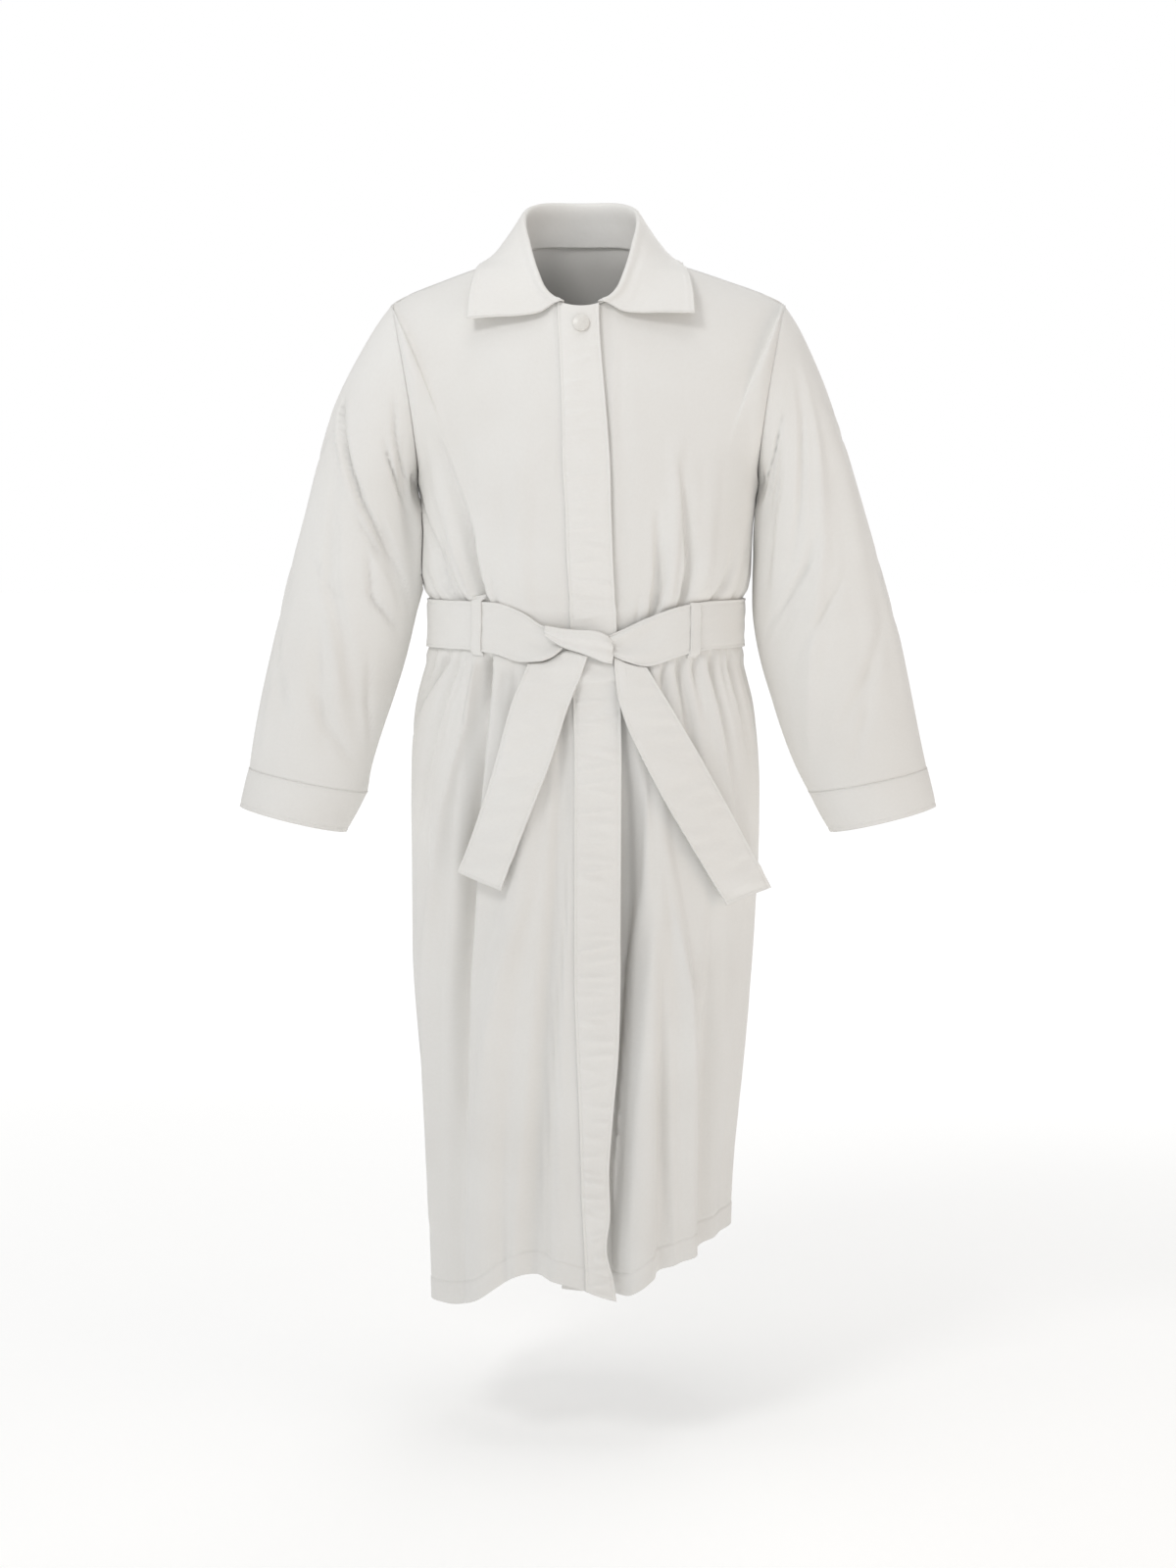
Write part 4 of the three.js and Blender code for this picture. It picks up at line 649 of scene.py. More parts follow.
def body_column(angle_at, hem_at, layer, edge, way):
    """One column of a panel: x, y, z, angle, level and how much of the folds shows, from the top down."""
    turn = float(angle_at(CHEST_RING))
    foot = on_form(turn, row_height(CHEST_RING, turn, 0), -depth_of(layer, turn, CHEST_RING))
    span = np.linalg.norm(edge - foot)
    upwards, arriving = np.array([0, 0, LEAVING * span]), ARRIVING * span * way
    column = []
    for s in YOKE_STEPS:
        p = hermite(foot, upwards, edge, arriving, s)
        column.append([*p, turn, p[2], soft((-150 - p[2]) / 80) * soft((1 - s) / 0.5)])
    for row in BODY_ROWS:
        angle = float(angle_at(row))
        z = row_height(row, angle, float(hem_at(angle)))
        level = z if row < BELOW_BELT else row
        column.append([*on_form(angle, z, -depth_of(layer, angle, level)), angle, level, 1])
    return column


def eased(grid, tops):
    """The columns of the yoke eased into each other below the neck and shoulder; the armhole stays as cut."""
    rows = len(YOKE_STEPS)
    i = np.arange(1, rows)
    share = 0.5 * np.minimum(1, i / 3) * soft((rows - i) / 3)
    weight = share[:, None] * soft((1.95 - np.array(tops)[1:-1]) / 0.7)[None, :]
    for _ in range(EASINGS):
        points = grid[1:rows, :, :3]
        middle = (points[:, :-2] + points[:, 2:]) / 2
        grid[1:rows, 1:-1, :3] = mix(points[:, 1:-1], middle, weight[..., None])
    return grid


def tucked(grid):
    """The front beneath goes into the deep fold and lies lower where the other front covers it."""
    x, y, z = grid[..., 0], grid[..., 1], grid[..., 2]
    angle = np.degrees(np.arctan2(x, -y))
    lip = read(DEEP_FOLD, z, 1)
    fold = read(DEEP_FOLD, z, 2) * (1 - soft((angle - lip) / LIP_WIDTH + 1))
    covered = COVERED_DEPTH * (1 - soft((angle - 16) / 10)) * soft((z - BELT_Z) / 60)
    scale = 1 - (fold + covered) / np.hypot(x, y)
    grid[..., 0], grid[..., 1] = x * scale, y * scale
    return grid


def to_hem(points):
    """Distance down the cloth to its hem."""
    return run_along(points[::-1])[::-1]


def folded(grid, seed, edges=(1, 1)):
    """Folds, creases and unevenness laid on a fine grid; edges says which sides stay in their seam."""
    angle, level, share = grid[..., 3], grid[..., 4], grid[..., 5]
    press = pressed(level)
    rise = fold_rise(BODY_FOLDS, angle, level)
    rise = mix(rise, np.minimum(rise, 0), press)
    hanging = soft((BLOUSE_TOP - level) / 50) * soft((level - BLOUSE_FOOT) / 34)
    rise += BLOUSE * hanging * np.abs(np.sin(np.radians(angle))) ** 2.5
    rise += BELT_ROLL * hump(np.abs(level - BELT_Z) - BELT_ROLL_PLACE, 8)
    points = grid[..., :3] + outward(angle) * (rise * share)[..., None]
    fine = CREASE * fold_rise(BODY_CREASES, angle, level, end=CREASE_END, crisp=True)
    across = np.radians(angle) * FOLD_RADIUS
    fine += UNEVEN * undulation(across, level, seed)
    fine += CRUMPLED * undulation(across, level, seed + 1, 12, 70, 24, 1.6)
    place = np.arange(grid.shape[1]) / SEAM_COLUMNS
    seam = soft(place) if edges[0] else np.ones(len(place))
    seam = seam * (soft(place[-1] - place) if edges[1] else 1)
    below_top = soft((grid[:1, :, 2] - grid[..., 2]) / TOP_EASE)
    fine = mix(fine, np.minimum(fine, 0) * 0.6, press) * seam * below_top
    left = to_hem(points)
    fine += HEM_STEP * soft((HEM_DEPTH + 1.5 - left) / 2.5) - HEM_GROOVE * hump(left - HEM_DEPTH, 1.4)
    return lifted(points, fine)


# How far apart rows and columns lie. The front beneath is finer across, for the steep side of the deep fold.
FINE_GRID, UNDER_GRID = (5.5, 4.0), (6.2, 2.7)
HEM_DEPTH = 27  # the hem is turned up twice and stitched this far above its edge
HEM_ROWS = [42, 37, 33, 30.5, 28.8, 27.6, 26.4, 25, 23, 19, 14, 9, 5, 2.2, 0.8, 0]


def hemmed(grid):
    """The last rows laid again at set distances from the hem, so that its stitched line is sharp."""
    left = to_hem(grid)
    kept = int((left.min(axis=1) > HEM_ROWS[0] + 4).sum())
    fresh = np.zeros((len(HEM_ROWS), *grid.shape[1:]))
    for j in range(grid.shape[1]):
        for c in range(grid.shape[2]):
            fresh[:, j, c] = np.interp(HEM_ROWS, left[::-1, j], grid[::-1, j, c])
    return np.concatenate([grid[:kept], fresh])


over_tops = FRONT_COLUMNS[::-1]
back_tops = BACK_COLUMNS + BACK_COLUMNS[-2::-1]
NECK_WAY = unit(np.array([0, 0.42, 1]))


def hem_of(table):
    return lambda angle: read(table, angle, 1)


def over_panel():
    hem = hem_of(HEM_OVER)
    columns = [body_column(lambda z, a=a: -a, hem, "over", *top_edge(-1, -1, top)) for a, top in over_tops]
    for k in range(PLACKET_CELLS, -1, -1):
        t = k / PLACKET_CELLS

        def line_x(z, t=t):
            return mix(read(PLACKET, z, 1), read(PLACKET, z, 2), t)

        edge = neck_point(neck_psi(float(line_x(0))))
        columns.append(body_column(lambda z, x=line_x: angle_of_x(x(z), z), hem, "over", edge, NECK_WAY))
    return eased(grid_of(columns), [top for _, top in over_tops] + [0] * (PLACKET_CELLS + 1))


def under_panel():
    hem = hem_of(HEM_UNDER)
    first_angle, first_top = FRONT_COLUMNS[0]
    columns = []
    for k in range(COVERED_CELLS):
        t = k / COVERED_CELLS

        def covered(z, t=t):
            return mix(angle_of_x(UNDER_EDGE_X, z), first_angle, t)

        edge = neck_point(mix(neck_psi(UNDER_EDGE_X), 90 * first_top, t))
        edge[1] += LAYER["under"][1] * (1 - soft((t - 0.6) / 0.3))
        columns.append(body_column(covered, hem, "under", edge, NECK_WAY))
    for a, top in FRONT_COLUMNS:
        columns.append(body_column(lambda z, a=a: a, hem, "under", *top_edge(1, -1, top)))
    return eased(grid_of(columns), [0] * COVERED_CELLS + [top for _, top in FRONT_COLUMNS])


def back_panel():
    hem = hem_of(HEM_BACK)
    columns = []
    for j, (a, top) in enumerate(back_tops):
        side = 1 if j < len(BACK_COLUMNS) else -1
        turn = a if side > 0 else 360 - a
        columns.append(body_column(lambda z, a=turn: a, hem, "over", *top_edge(side, 1, top)))
    return eased(grid_of(columns), [top for _, top in back_tops])


over_cloth = folded(hemmed(refined(over_panel(), *FINE_GRID)), 11, (1, 0))
under_cloth = folded(hemmed(tucked(refined(under_panel(), *UNDER_GRID))), 12, (0, 1))
back_cloth = folded(hemmed(refined(back_panel(), *FINE_GRID)), 13)
cloth("front_over", over_cloth, CLOTH_WALL)
cloth("front_under", under_cloth, CLOTH_WALL)
cloth("back", back_cloth, CLOTH_WALL)

# %% [markdown]
# ## The strip down the closing
# The buttons hide under a strip of doubled cloth, sewn down along its inner side. It is the same cloth as
# the front beneath it, so its grid is the front's own last columns, lifted. Two rows of topstitching draw
# it in, and the cloth between them has shrunk in the wash, which leaves short level puckers all the way
# down.

# %% Closing strip
STITCH_INSET, GROOVE, GROOVE_WIDTH = 3.6, 0.6, 1.3
STRIP_GRID = (2.2, 1.6)
PUCKER_SPACING, PUCKER_TOP, PUCKER_FOOT = 15, -110, -1230


def puckers(z, across, seed):
    """Short level bumps down a strip; across runs from 0 to 1 between its stitched edges."""
    draw = np.random.default_rng(seed)
    total = np.zeros(np.broadcast(z, across).shape)
    middle = PUCKER_TOP
    while middle > PUCKER_FOOT:
        middle -= draw.uniform(0.5, 1.6) * PUCKER_SPACING
        width, tilt, rise = draw.uniform(2.4, 4.4), draw.uniform(-12, 12), draw.uniform(1.2, 3.2)
        reach_to, at = draw.uniform(0.35, 0.8), draw.uniform(0.3, 0.7)
        rise *= mix(0.6, 1, soft((-middle - 250) / 350))
        along = hump(z - middle - tilt * (across - 0.5), width)
        total += rise * along * soft(1 - np.abs(across - at) / reach_to)
    return total * inside(across, 0.12)


def grooves(distance):
    """Cloth drawn in along a line of stitches."""
    return -GROOVE * hump(distance, GROOVE_WIDTH)


strip = folded(refined(over_panel()[:, -PLACKET_CELLS - 1 :], *STRIP_GRID), 11, (0, 0))
from_inner = np.linalg.norm(strip - strip[:, :1], axis=-1)
width = from_inner[:, -1:]
lift = SEAM_GAP + BAND_WALL + 0.3 + puckers(strip[..., 2], from_inner / width, 21)
for distance in (from_inner, width - from_inner):
    lift = lift + grooves(distance - STITCH_INSET) + 0.25 * soft((STITCH_INSET - distance) / 2)
placket_cloth = lifted(strip, lift)
cloth("placket_band", placket_cloth, BAND_WALL)

# %% [markdown]
# ## Keeping pieces apart
# Cloth lies on cloth. Where a piece rests on another, each of its points finds the nearest face below with
# a BVH tree, which is a quick way to ask a mesh for its closest point, and stays a set distance above it.


# %% Clearance
def tree_of(*surfaces):
    """A tree of grid surfaces, in millimetres."""
    vertices, faces = [], []
    for points in surfaces:
        rows, columns = points.shape[:2]
        first = len(vertices)
        vertices += [Vector(p) for p in points.reshape(-1, 3)]
        for i in range(rows - 1):
            for j in range(columns - 1):
                a = first + i * columns + j
                faces.append((a, a + columns, a + columns + 1, a + 1))
    return BVHTree.FromPolygons(vertices, faces)


def kept_clear(points, tree, clearance, settle=None, near=999):
    """The points moved out to a clearance from the tree; those lower than settle are laid at it."""
    moved = points.copy()
    for index in np.ndindex(points.shape[:-1]):
        p = Vector(points[index])
        found, normal, _, _ = tree.find_nearest(p, near)
        if found is None:
            continue
        height = (p - found).dot(normal)
        if settle is not None and height < settle:
            moved[index] = np.array(found + normal * clearance)
        elif height < clearance:
            moved[index] = np.array(p + normal * (clearance - height))
    return moved


# Rows of the grids that lie over the shoulders, beside the sleeves, under the belt, and below the waist.
SHOULDERS, BESIDE_SLEEVES, WAIST, BELOW_CHEST = slice(0, 70), slice(20, 90), slice(60, 130), slice(60, None)
panels = (over_cloth, under_cloth, back_cloth)
yoke_tree = tree_of(*(panel[SHOULDERS] for panel in panels), placket_cloth[:90])
side_tree = tree_of(*(panel[BESIDE_SLEEVES] for panel in panels))
waist_tree = tree_of(*(panel[WAIST] for panel in panels[:2]))
front_tree = tree_of(*(panel[BELOW_CHEST] for panel in panels[:2]), placket_cloth[80:])
print("trees are ready")

# %% [markdown]
# ## Button
# One plain button shows at the neck, about 20 mm across, moulded in one piece with a soft dome; its shank
# behind it isn't made. A profile spun round its axis makes it, and it is turned to stand square on the strip.

# %% Button
BUTTON_X, BUTTON_Z, BUTTON_RADIUS, BUTTON_THICK = -8, -102, 10, 4
# Distance from its axis and height, from the middle of its back round the rim to the middle of its face.
BUTTON_PROFILE = [
    (0, 0), (BUTTON_RADIUS - 1.2, 0), (BUTTON_RADIUS - 0.3, 0.5), (BUTTON_RADIUS, 1.3),
    (BUTTON_RADIUS - 0.2, 2.1), (BUTTON_RADIUS - 1.0, 2.75), (BUTTON_RADIUS - 2.0, 2.85),
    (BUTTON_RADIUS - 3.2, 3.2), (4, 3.75), (0, BUTTON_THICK),
]
in_front = Vector((BUTTON_X, -1000, BUTTON_Z))
hit, hit_normal, _, _ = tree_of(placket_cloth[:40]).ray_cast(in_front, Vector((0, 1, 0)))
bm = bmesh.new()
rim = [bm.verts.new((x * MM, 0, y * MM)) for x, y in BUTTON_PROFILE]
edges = [bm.edges.new(pair) for pair in zip(rim[:-1], rim[1:])]
bmesh.ops.spin(
    bm, geom=[*rim, *edges], cent=(0, 0, 0), axis=(0, 0, 1), angle=math.tau, steps=40, use_merge=True,
    use_duplicate=False,
)
bmesh.ops.remove_doubles(bm, verts=bm.verts, dist=1e-6)
bmesh.ops.recalc_face_normals(bm, faces=bm.faces)
turn = hit_normal.to_track_quat("Z", "Y").to_matrix().to_4x4()
place = Matrix.Translation((hit + hit_normal * 2 * SEAM_GAP) * MM) @ turn
bmesh.ops.transform(bm, matrix=place, verts=bm.verts)
button = put("button_moulded", bm, bpy.data.meshes.new("button"))
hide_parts("button")
print("button at", [round(v, 1) for v in hit])

# %% [markdown]
# ## Collar
# A shirt collar is a stand and a leaf in one: the cloth comes up from the neck seam, rolls over and lies
# back down on the shoulders. Its column is worked out at each angle round the neck, with the roll's small
# radius at the top.

# %% Collar
COLLAR_ROLL, COLLAR_COLUMNS, COLLAR_INSET, COLLAR_GRID = 2.6, 32, 6, (1.6, 2.6)
POINT_DROP = 7  # the left point hangs this much lower
# angle round the neck, height of the stand, x, y and z of the leaf's edge
COLLAR = [
    (19, 4.5, 131, -84, -90), (27, 5, 130, -70, -70), (38, 9, 127, -50, -50), (51, 21, 122, -26, -35),
    (71, 40, 115, 8, -28), (92, 45, 104, 40, -26), (118, 45, 82, 72, -30), (148, 46, 46, 92, -34),
    (180, 46, 0, 99, -35),
]
LEAF_STEPS, LEAF_SAG = [0.18, 0.36, 0.66, 0.86, 1], 8.5  # the front edge of the leaf hangs in a curve
SAG_SHARES = [(0, 0.18, 0.36, 1), (0.4, 0.95, 1, 0)]  # places down the leaf, share of the sag there


def collar_column(u):
    """Up the stand, over the roll and down the leaf, with u from -1 to 1 round the neck."""
    side = 1 if u >= 0 else -1
    psi = 180 - (180 - COLLAR[0][0]) * abs(u) ** 0.94
    stand, x, y, z = (float(read(COLLAR, psi, k)) for k in range(1, 5))
    to_side = float(soft((psi - 22) / 40))
    seam = neck_point(side * psi)
    around = np.array([math.sin(math.radians(side * psi)), -math.cos(math.radians(psi)), 0])
    rise = unit(mix(np.array([0, -1, 0.25]), np.array([-0.1 * around[0], -0.1 * around[1], 1]), to_side))
    fold = seam + rise * stand
    edge = np.array([NECK_X + side * x, y, z - POINT_DROP * float(soft((-u - 0.72) / 0.28))])
    out = edge - fold
    out = unit(out - rise * out.dot(rise))
    r = COLLAR_ROLL
    base = seam - 1.9 * out - 4 * rise
    column = [base, (base + fold) / 2 - 0.5 * r * out]
    for along, up in ((-1, -1), (-0.4, 0.2), (0.9, 0.2), (2, -0.6)):
        column.append(fold + r * along * out + r * up * rise)
    way = unit(mix(np.array([0, -1, 0.3]), np.array([around[0], around[1], 1]), to_side))
    sag = np.array([0, 0, -LEAF_SAG * float(soft((abs(u) - 0.78) / 0.22))])
    for t in LEAF_STEPS:
        column.append(mix(column[5], edge, t) + way * 8 * t * (1 - t) + sag * np.interp(t, *SAG_SHARES))
    return column


collar_places = np.linspace(-1, 1, COLLAR_COLUMNS + 1)
collar_grid = grid_of([collar_column(u) for u in collar_places])
leaf = kept_clear(collar_grid[6:], yoke_tree, COLLAR_WALL + 0.9)
collar_cloth = refined(np.concatenate([collar_grid[:6], leaf]), *COLLAR_GRID)
down = knots_of(collar_cloth, 0)[:, None]
ripple = 0.7 * undulation(knots_of(collar_cloth, 1)[None, :], down, 31, 10, 120, 35, 1.0)
ends = collar_cloth[:, :1], collar_cloth[:, -1:]
from_end = np.minimum(*(np.linalg.norm(collar_cloth - end, axis=-1) for end in ends))
collar_lift = soft((down - 62) / 20) * ripple + grooves(down[-1] - down - COLLAR_INSET)
collar_lift = collar_lift + grooves(from_end - COLLAR_INSET) * soft((down - 20) / 20)
collar_cloth = lifted(collar_cloth, collar_lift)
leaf_rows = int((down[:, 0] < 58).sum())
collar_cloth[leaf_rows:] = kept_clear(collar_cloth[leaf_rows:], yoke_tree, COLLAR_WALL + 0.6)
cloth("collar", collar_cloth, COLLAR_WALL)

# %% [markdown]
# ## Sleeves and cuffs
# A sleeve is a tube on slanting rings. Its head starts on the armhole's own line, so that the two meet at a
# seam, and eases into its own sections. Long creases run from the outer elbow to the inner one, as a
# hanging arm makes them.

# %% Sleeve sizes
# outer x and z, inner x and z, half depth, middle y
SLEEVE = np.array([
    (230.6, -74.2, 200.8, -270.2, 70, 0), (248, -99, 201.6, -281, 69.5, -1), (272, -145, 202, -294, 68, -2),
    (297, -200, 200.5, -311, 66, -4), (317, -265, 197.5, -336, 64, -6), (336, -335, 195.5, -376, 62, -9),
    (354, -400, 199, -436, 60, -12), (370, -460, 210, -490, 58, -15), (383, -520, 227, -546, 55, -19),
    (394, -575, 246, -602, 52, -23), (403, -621, 263, -650, 49, -26),
])
# The two arms don't hang quite alike: how far the outer and inner line of each sleeve lies from that table.
SLEEVE_HANG = {
    -1: [(0, 0), (1, 0), (4, 0), (6, 0), (4, 0), (3, 0), (3, 5), (1, 7), (2, 7), (2, 6), (0, 0)],
    1: [(0, 0), (-1, 0), (-3, 0), (-6, 0), (-5, 0), (-3, 0), (-2, -4), (-1, -6), (-1, -6), (-1, -6), (0, 0)],
}
SLEEVE_STEPS = [0, 0.4, 1, 1.7, 2.4, 3, 3.6, 4.2, 4.8, 5.4, 6, 6.6, 7.2, 7.8, 8.5, 9.3, 10]
SLEEVE_END, SLEEVE_RADIUS, SLEEVE_LENGTH = 10, 54, 560
CUFF = np.array([
    (403.2, -619.6, 262.4, -648.8, 49.5, -25.9), (409, -643, 275, -673, 46, -28),
    (414, -665, 288, -696, 43, -30),
])
SLEEVE_GRID, CUFF_GRID, CUFF_INSET = (5, 4), (2.5, 3.5), 5
# Folds as on the body, along the sleeve from 0 at its head to 1 at the cuff, by angle from its outer side.
SLEEVE_FOLDS_RIGHT = [
    ((0.06, 0.18, 0.3), (158, 158, 160), (12, 15, 12), (-4, -13, -2)),
    ((0.2, 0.4, 0.6), (178, 176, 176), (22, 28, 20), (5, 13, 2)),
    ((0.1, 0.3, 0.5), (118, 138, 150), (12, 14, 14), (-2, -7, -2)),
    ((0.42, 0.5, 0.6), (100, 120, 146), (9, 11, 11), (-2, -7, -2)),
    ((0.38, 0.58, 0.86), (52, 72, 132), (8, 10, 10), (-2, -7, -2)),
    ((0.52, 0.68, 0.86), (60, 82, 112), (9, 12, 10), (1, 5, 1)),
    ((0.76, 0.86, 0.94), (70, 104, 140), (9, 11, 10), (-2, -6, -2)),
    ((0.7, 0.78, 0.86), (24, 40, 62), (9, 11, 10), (-2, -7, -2)),
    ((0.3, 0.55, 0.8), (250, 235, 215), (12, 16, 14), (-2, -7, -2)),
    ((0.5, 0.66, 0.82), (310, 290, 268), (10, 12, 11), (-2, -6, -2)),
]
SLEEVE_FOLDS_LEFT = [
    ((0.06, 0.18, 0.28), (156, 156, 158), (11, 13, 11), (-3, -9, -2)),
    ((0.14, 0.3, 0.46), (178, 176, 176), (20, 26, 20), (4, 10, 2)),
    ((0.1, 0.32, 0.6), (100, 140, 150), (12, 14, 14), (-2, -8, -2)),
    ((0.12, 0.4, 0.78), (46, 40, 60), (14, 18, 16), (1, 5, 2)),
    ((0.46, 0.56, 0.68), (80, 104, 140), (9, 11, 11), (-2, -6, -2)),
    ((0.66, 0.76, 0.86), (40, 64, 100), (9, 11, 11), (-2, -6, -2)),
    ((0.3, 0.55, 0.8), (246, 232, 212), (12, 16, 14), (-2, -7, -2)),
    ((0.5, 0.66, 0.82), (306, 288, 266), (10, 12, 11), (-2, -6, -2)),
]
SLEEVE_CREASES_RIGHT = [
    ((0.25, 0.29, 0.37, 0.46, 0.54), (30, 46, 74, 106, 136), (4, 5, 6, 7, 7), (-3.5, -6, -5.5, -4, -0.6)),
    ((0.27, 0.34, 0.42, 0.5), (28, 50, 78, 104), (7, 9, 9, 8), (1, 3, 3, 0.6)),
    ((0.22, 0.28, 0.36), (98, 122, 142), (5, 6, 7), (-2, -4.5, -2)),
    ((0.1, 0.16, 0.24), (84, 108, 142), (8, 9, 9), (-1, -3, -2)),
    ((0.37, 0.46, 0.55), (62, 90, 128), (5, 7, 7), (-1.5, -3.4, -0.8)),
    ((0.5, 0.59, 0.65), (98, 112, 148), (5, 7, 7), (-1.2, -3.6, -1.4)),
    ((0.52, 0.57, 0.62), (36, 60, 90), (7, 9, 9), (-0.6, -1.6, -0.5)),
    ((0.6, 0.74, 0.92), (72, 80, 106), (12, 16, 14), (-0.8, -3.2, -0.8)),
    ((0.62, 0.78, 0.95), (40, 36, 40), (10, 13, 12), (0.6, 2.2, 0.6)),
    ((0.42, 0.5, 0.6), (108, 126, 158), (5, 6, 7), (-1, -3, -1)),
    ((0.7, 0.8, 0.9), (120, 134, 158), (6, 8, 8), (-0.8, -2.4, -0.6)),
    ((0.24, 0.34, 0.46), (300, 282, 254), (5, 7, 8), (-1.5, -3.6, -0.8)),
    ((0.38, 0.5, 0.62), (318, 296, 262), (5, 7, 8), (-1.5, -3.6, -0.8)),
    ((0.5, 0.62, 0.76), (320, 290, 250), (5, 7, 8), (-1.2, -3, -0.8)),
    ((0.12, 0.22, 0.32), (262, 238, 216), (6, 8, 8), (-1.5, -3.6, -1.2)),
    ((0.72, 0.84, 0.94), (250, 262, 280), (7, 9, 9), (-0.6, -2.2, -0.6)),
    ((0.3, 0.38, 0.48), (46, 6, -34), (6, 8, 8), (-0.8, -1.8, -1)),
    ((0.45, 0.54, 0.64), (-44, -4, 30), (6, 8, 8), (-1, -1.6, -0.8)),
    ((0.58, 0.7, 0.84), (26, -4, -32), (8, 10, 10), (-0.8, -1.4, -0.8)),
    ((0.14, 0.24, 0.38), (-34, -6, 14), (9, 12, 12), (-0.8, -1.4, -0.6)),
]
SLEEVE_CREASES_LEFT = [
    ((0.14, 0.3, 0.42, 0.54, 0.72, 0.9), (50, 64, 76, 88, 110, 136), (9, 11, 12, 12, 13, 12),
     (0.8, 2.2, 2.6, 2.6, 2.2, 0.8)),
    ((0.16, 0.28, 0.42, 0.54), (64, 84, 100, 116), (7, 9, 10, 10), (-1, -2.8, -3, -1)),
    ((0.13, 0.15, 0.2, 0.3), (76, 104, 138, 158), (9, 10, 10, 10), (-0.6, -1.8, -2.4, -1)),
    ((0.26, 0.42, 0.56), (116, 136, 146), (6, 8, 9), (-1.2, -3.4, -1)),
    ((0.52, 0.58, 0.66), (92, 118, 152), (5, 7, 7), (-1, -3, -1)),
    ((0.56, 0.64, 0.74), (66, 96, 132), (6, 8, 8), (-0.8, -2.4, -0.6)),
    ((0.4, 0.6, 0.84), (24, 30, 28), (12, 15, 13), (0.5, 1.8, 0.5)),
    ((0.74, 0.84, 0.94), (60, 76, 100), (8, 11, 10), (-0.6, -2.2, -0.6)),
    ((0.26, 0.36, 0.48), (298, 280, 252), (5, 7, 8), (-1.5, -3.6, -0.8)),
    ((0.4, 0.52, 0.64), (316, 292, 258), (5, 7, 8), (-1.5, -3.4, -0.8)),
    ((0.54, 0.66, 0.78), (322, 288, 248), (5, 7, 8), (-1.2, -3, -0.8)),
    ((0.1, 0.2, 0.3), (260, 236, 214), (6, 8, 8), (-1.5, -3.6, -1.2)),
    ((0.7, 0.82, 0.93), (252, 262, 276), (7, 9, 9), (-0.6, -2.2, -0.6)),
    ((0.26, 0.35, 0.46), (40, 2, -38), (6, 8, 8), (-0.8, -1.8, -1)),
    ((0.42, 0.52, 0.62), (-48, -8, 26), (6, 8, 8), (-1, -1.6, -0.8)),
    ((0.56, 0.68, 0.8), (30, 0, -30), (8, 10, 10), (-0.8, -1.4, -0.8)),
    ((0.16, 0.26, 0.4), (-30, 0, 20), (9, 12, 12), (-0.8, -1.4, -0.6)),
]
sleeve_round = np.array(
    [top - 2 for _, top in FRONT_COLUMNS if top >= 2] + [4 - top for _, top in BACK_COLUMNS if 2 < top < 3]
)
print("sleeve columns:", len(sleeve_round))


# %% Sleeves
def ring_of(section, side):
    outer_x, outer_z, inner_x, inner_z, depth, y = section
    c, s = np.cos(np.pi * sleeve_round), np.sin(np.pi * sleeve_round)
    x = (outer_x + inner_x) / 2 + c * (outer_x - inner_x) / 2
    z = (outer_z + inner_z) / 2 + c * (outer_z - inner_z) / 2
    return np.stack([side * x, y - depth * s, z], axis=-1)


def closed_ring(points):
    return np.concatenate([points, points[:, :1]], axis=1)


def sleeve_points(side, folds, creases, seed):
    sections = SLEEVE.copy()
    sections[:, [0, 2]] += SLEEVE_HANG[side]
    rings = np.array([ring_of(section, side) for section in sections])
    armhole = [armhole_point(side, -1, t) if t <= 1 else armhole_point(side, 1, 2 - t) for t in sleeve_round]
    head = np.array(armhole) - rings[0]
    turn = sleeve_round * 180
    rows = []
    for step in SLEEVE_STEPS:
        k = min(int(step), SLEEVE_END - 1)
        before, here, after = rings[max(0, k - 1)], rings[k], rings[min(SLEEVE_END, k + 2)]
        m0 = (rings[k + 1] - before) / (2 if k > 0 else 1)
        m1 = (after - here) / (2 if k + 2 <= SLEEVE_END else 1)
        row = hermite(here, m0, rings[k + 1], m1, step - k) + head * (1 - soft(step / 2.2))
        rows.append(np.column_stack([row, turn, np.full(len(turn), step / SLEEVE_END)]))
    grid = closed_ring(np.array(rows))
    grid[:, -1, 3] += 360
    grid = refined(grid, *SLEEVE_GRID, closed=True)
    points, angle, t = grid[..., :3], grid[..., 3], grid[..., 4]
    middle = points.mean(axis=1, keepdims=True)
    step = t * SLEEVE_END
    share = soft((step - 0.6) / 1.4) * soft((SLEEVE_END - step) / 1.2)
    rise = fold_rise(folds, angle, t, SLEEVE_RADIUS, 0.05, -1) * share
    points = points + unit(points - middle) * rise[..., None]
    fine = fold_rise(creases, angle, t, SLEEVE_RADIUS, 0.03, -1, crisp=True)
    around = np.radians(angle) * SLEEVE_RADIUS
    wave = undulation(around, t * SLEEVE_LENGTH, seed) * soft(np.minimum(angle, 360 - angle) / 25)
    fine = (2.1 * fine + 1.4 * wave) * soft(step / 0.5) * soft((SLEEVE_END - step) / 0.6)
    points = points + unit(points - middle) * fine[..., None]
    return points[:, ::-1] if side > 0 else points


